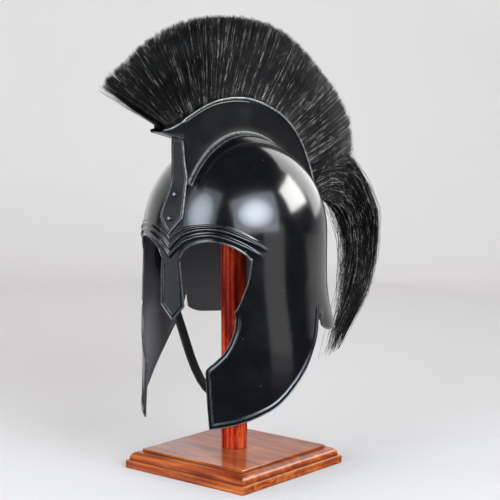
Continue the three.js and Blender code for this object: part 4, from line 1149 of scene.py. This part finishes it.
def build_core(track):
    """Dense middle of the plume that the strands stand round."""
    share = np.linspace(*CORE_SPAN, 160)
    steps = np.concatenate([[0.1], np.linspace(1, 1.94, 12)])
    flat = crest_path(track, share, steps, 0.985 - 0.02 * np.abs(np.sin(share * 410)))
    t = np.clip(steps - 1, 0, 1)
    half = (HAIR_HALF - 1) + (PLUME_SWELL - 2) * smoothstep(t, 0, 0.7) - 7 * smoothstep(t, 0.75, 0.95)
    core = slab("hair_core", flat, half)
    steps = np.linspace(0.02, 0.7, 30)
    flat = tail_path(track, np.linspace(0.06, 0.92, 30), np.ones(30), steps)
    half = HAIR_HALF * np.interp(steps, TAIL_LEVELS, (0.95, 1.25, 1.1, 0.5, 0.3))
    join(core, slab("hair_core_tail", flat, half))
    adopt(core, "plume", slot="horsehair")


def slab(name, flat, half):
    """Closed body of a grid in the middle plane, thick by row."""
    across = [np.broadcast_to(x[:, None, None], flat[..., :1].shape) for x in (half, -half)]
    points = np.concatenate([np.concatenate([x, flat], -1).reshape(-1, 3) for x in across])
    points[:, 2] += TEMPLE
    shade = np.full(len(points), 0.1)
    body = mesh_from(name, points, sheet_faces(*flat.shape[:2]), {"shade": shade}, HAIR_FINISH)
    settle(body, 40)
    return body


# Chin strap

def build_chin_strap():
    """Leather loop: the node's own course with rounded edges."""
    strap = new_object("chin_strap_fine", nodes["chin_strap"].data.copy())
    strap.matrix_world = nodes["chin_strap"].matrix_world.copy()
    strap.data.materials.clear()
    strap.data.materials.append(LEATHER_FINISH)
    weld(strap, 0.01)
    bevel = strap.modifiers.new("bevel", "BEVEL")
    bevel.width = 0.7 * MM
    bevel.segments = 3
    bevel.limit_method = "ANGLE"
    bevel.angle_limit = math.radians(40)
    apply_modifiers(strap)
    for polygon in strap.data.polygons:
        polygon.use_smooth = True
    sharpen(strap, 45)
    return adopt(strap, "chin_strap", slot="black_leather")


# Stand

BASE_WIDTH = 178
BASE_TOP_WIDTH = 150
PLINTH_HEIGHT = 9.5
MOULDING_HEIGHT = 9.6
TOP_PLATE_HEIGHT = 3
MOULDING_STEP = 1.6
POST_DIAMETER = 30


def build_base():
    """Square base with a rounded moulding."""
    half, upper = BASE_WIDTH / 2, BASE_TOP_WIDTH / 2
    reach = half - MOULDING_STEP * 2 - upper - MOULDING_STEP
    top = PLINTH_HEIGHT + MOULDING_HEIGHT
    rise = MOULDING_HEIGHT - MOULDING_STEP
    edge, ledge = half - MOULDING_STEP, PLINTH_HEIGHT - MOULDING_STEP
    profile = [(half - 0.6, 0), (half, 0.6), (half, ledge)]
    for turn in np.radians((22.5, 45, 67.5)):
        profile.append((half - MOULDING_STEP * (1 - math.cos(turn)),
                        PLINTH_HEIGHT - MOULDING_STEP * (1 - math.sin(turn))))
    profile += [(edge, PLINTH_HEIGHT), (half - MOULDING_STEP * 2, PLINTH_HEIGHT)]
    for turn in np.radians(np.linspace(0, 90, 17)):
        profile.append((upper + MOULDING_STEP + reach * math.cos(turn),
                        PLINTH_HEIGHT + MOULDING_STEP + rise * math.sin(turn)))
    profile += [(upper, top), (upper, top + TOP_PLATE_HEIGHT - 0.6), (upper - 0.6, top + TOP_PLATE_HEIGHT)]
    rings = [[(r, -r, z), (r, r, z), (-r, r, z), (-r, -r, z)] for r, z in profile]
    # Painted shade: the moulding's two inner corners get a darkening value, which the wood reads as its wear
    # attribute.
    corners = ((half - MOULDING_STEP * 2, PLINTH_HEIGHT), (upper, top))
    groove_shade = [0.75 if corner in corners else 0.0 for corner in profile]
    base = loft("stand_base_fine", rings, np.repeat(np.array(groove_shade)[:, None], 4, 1), BASE_WOOD, 30)
    return adopt(base, "stand_base", slot="varnished_wood")


def build_post():
    low, high = node_box("stand_post")
    radius = POST_DIAMETER / 2
    profile = ((radius - 0.5, low[2]), (radius, low[2] + 0.5), (radius, high[2] - 1), (radius - 1, high[2]))
    rings = [circle(r, z) for r, z in profile]
    post = loft("stand_post_fine", rings, np.zeros((4, ROUND_STEPS)), POST_WOOD, 30)
    return adopt(post, "stand_post", slot="varnished_wood")


# Stage, light and camera

def aim(thing, direction):
    thing.rotation_euler = Vector(direction).to_track_quat("-Z", "Y").to_euler()


FLOOR_SINK = 0.0002


def build_stage():
    """Pale floor that rises into a wall far behind the object, seen from the camera."""
    material = stage_material("pale_stage", (0.72, 0.678, 0.655))
    wide, near, middle, far, bend, tall = 5, -5, 0.55, 2.6, 1.2, 3.2
    back = Vector(CAMERA_AIM).xy.normalized()
    turns = np.radians(np.linspace(0, 90, 25)[1:])
    curve = [(far - bend + bend * math.sin(turn), bend * (1 - math.cos(turn))) for turn in turns]
    courses = {"floor": [(near, 0), (0, 0), (middle, 0)],
               "wall": [(middle, 0), (far - bend, 0), *curve, (far, tall)]}
    for name, course in courses.items():
        points = [(back.x * along - back.y * side, back.y * along + back.x * side, up - FLOOR_SINK)
                  for along, up in course for side in (-wide, wide)]
        piece = mesh_from(name, np.array(points) / MM, grid_faces(len(course), 2), {}, material)
        piece.visible_glossy = name == "wall"
    build_surround()


SURROUND_RADIUS = 4.8
SURROUND_HEIGHTS = (-0.01, 5)


def build_surround():
    """Pale ring far round the floor, there for views from the sides and the back alone."""
    material, n, shader = new_material("pale_surround")
    n.fill(shader, {"Base Color": (0, 0, 0, 1), "Emission Color": (1, 0.99, 0.98, 1),
                    "Emission Strength": 0.62})
    points = np.concatenate([circle(SURROUND_RADIUS, height) for height in SURROUND_HEIGHTS])
    ring = mesh_from("surround", points / MM, grid_faces(2, ROUND_STEPS, closed=True), {}, material)
    ring.visible_diffuse = False
    ring.visible_glossy = False
    ring.visible_shadow = False


LAMP_DISTANCE = 2.2


def area_light(name, azimuth, elevation, size, glow, colour, distance=LAMP_DISTANCE, target=(0, 0, 0.3),
               mirrored=True, lit=True, shape="RECTANGLE"):
    """Soft box seen from the object at an azimuth from the face towards its left and an elevation."""
    turn, lift = math.radians(azimuth), math.radians(elevation)
    way = Vector((math.sin(turn) * math.cos(lift), -math.cos(turn) * math.cos(lift), math.sin(lift)))
    lamp = bpy.data.lights.new(name, "AREA")
    lamp.shape = shape
    lamp.size, lamp.size_y = size
    lamp.energy = glow * math.pi * size[0] * size[1] * (1 if shape == "RECTANGLE" else math.pi / 4)
    lamp.color = colour
    thing = new_object(name, lamp)
    thing.location = Vector(target) + way * distance
    thing.visible_camera = False
    thing.visible_glossy = mirrored
    thing.visible_diffuse = lit
    aim(thing, -way)


COOL = (0.8, 0.9, 1)
WARM = (1, 1, 0.965)
WHITE = (1, 0.99, 0.985)


def soft_box(name, azimuth, elevation, size, glows, colour):
    """Lamp that is brightest in its middle: ellipses inside a dim sheet."""
    area_light(name, azimuth, elevation, size, glows[0], colour)
    for k, glow in enumerate(glows[1:]):
        share = 1 - (k + 0.35) / len(glows)
        area_light(f"{name}_{k + 2}", azimuth, elevation, (size[0] * share, size[1] * share), glow, colour,
                   distance=LAMP_DISTANCE + 0.02 * k, shape="ELLIPSE")


def build_light():
    world = bpy.data.worlds.new("studio")
    world.use_nodes = True
    Nodes(world.node_tree).fill(world.node_tree.nodes["Background"],
                                {"Color": (0.93, 0.95, 1, 1), "Strength": 0.03})
    bpy.context.scene.world = world
    soft_box("box_front", 1, 23, (1.75, 2.3), (1.3, 2.6, 2.6, 1.5, 0.8), COOL)
    soft_box("box_left", 76, 23, (2.35, 1.6), (2.2, 4.2, 4.2, 3, 2), COOL)
    area_light("box_back", 140, 26, (1.2, 0.85), 10, WARM, lit=False)
    area_light("box_back_soft", 140, 26, (1.2, 0.85), 7, WARM, mirrored=False)
    area_light("panel_back", 181, 24, (1.5, 1.7), 2.2, WHITE, lit=False)
    area_light("panel_left", -108, 12, (3.2, 2.4), 0.6, WHITE, lit=False)
    area_light("low_fill", 96, -4, (0.75, 0.7), 0.6, WHITE, 1.6)
    area_light("fill_front", -43, 0, (1.4, 1.8), 0.55, COOL)
    area_light("key_low", -50, 8, (0.55, 0.5), 12, WHITE, mirrored=False)
    area_light("key_through", -26, 3, (0.5, 0.5), 16, WHITE, mirrored=False)
    area_light("wash_high", 225, 80, (3.6, 3.6), 0.9, WHITE, 3.2, (-0.9, 0.7, 0), False)
    area_light("wash_wall", 40, 60, (2.4, 1.2), 0.9, WHITE, 2.6, (-1.8, 1.15, 0.8), False)


def build_camera():
    data = bpy.data.cameras.new("camera")
    data.lens = CAMERA_LENS
    data.sensor_width = SENSOR
    data.clip_start = 0.05
    camera = new_object("camera", data)
    camera.location = CAMERA_PLACE
    aim(camera, CAMERA_AIM)
    bpy.context.scene.camera = camera


build_camera()
build_stage()
build_light()
build_shell()
crest = build_holder()
build_strap(crest)
build_rivets(crest)
hair_track = rim_track(crest)
random = np.random.default_rng(7)
build_core(hair_track)
build_crest(hair_track, random)
build_tail(hair_track, random)
build_chin_strap()
build_base()
build_post()
bpy.context.scene.view_settings.view_transform = "Standard"
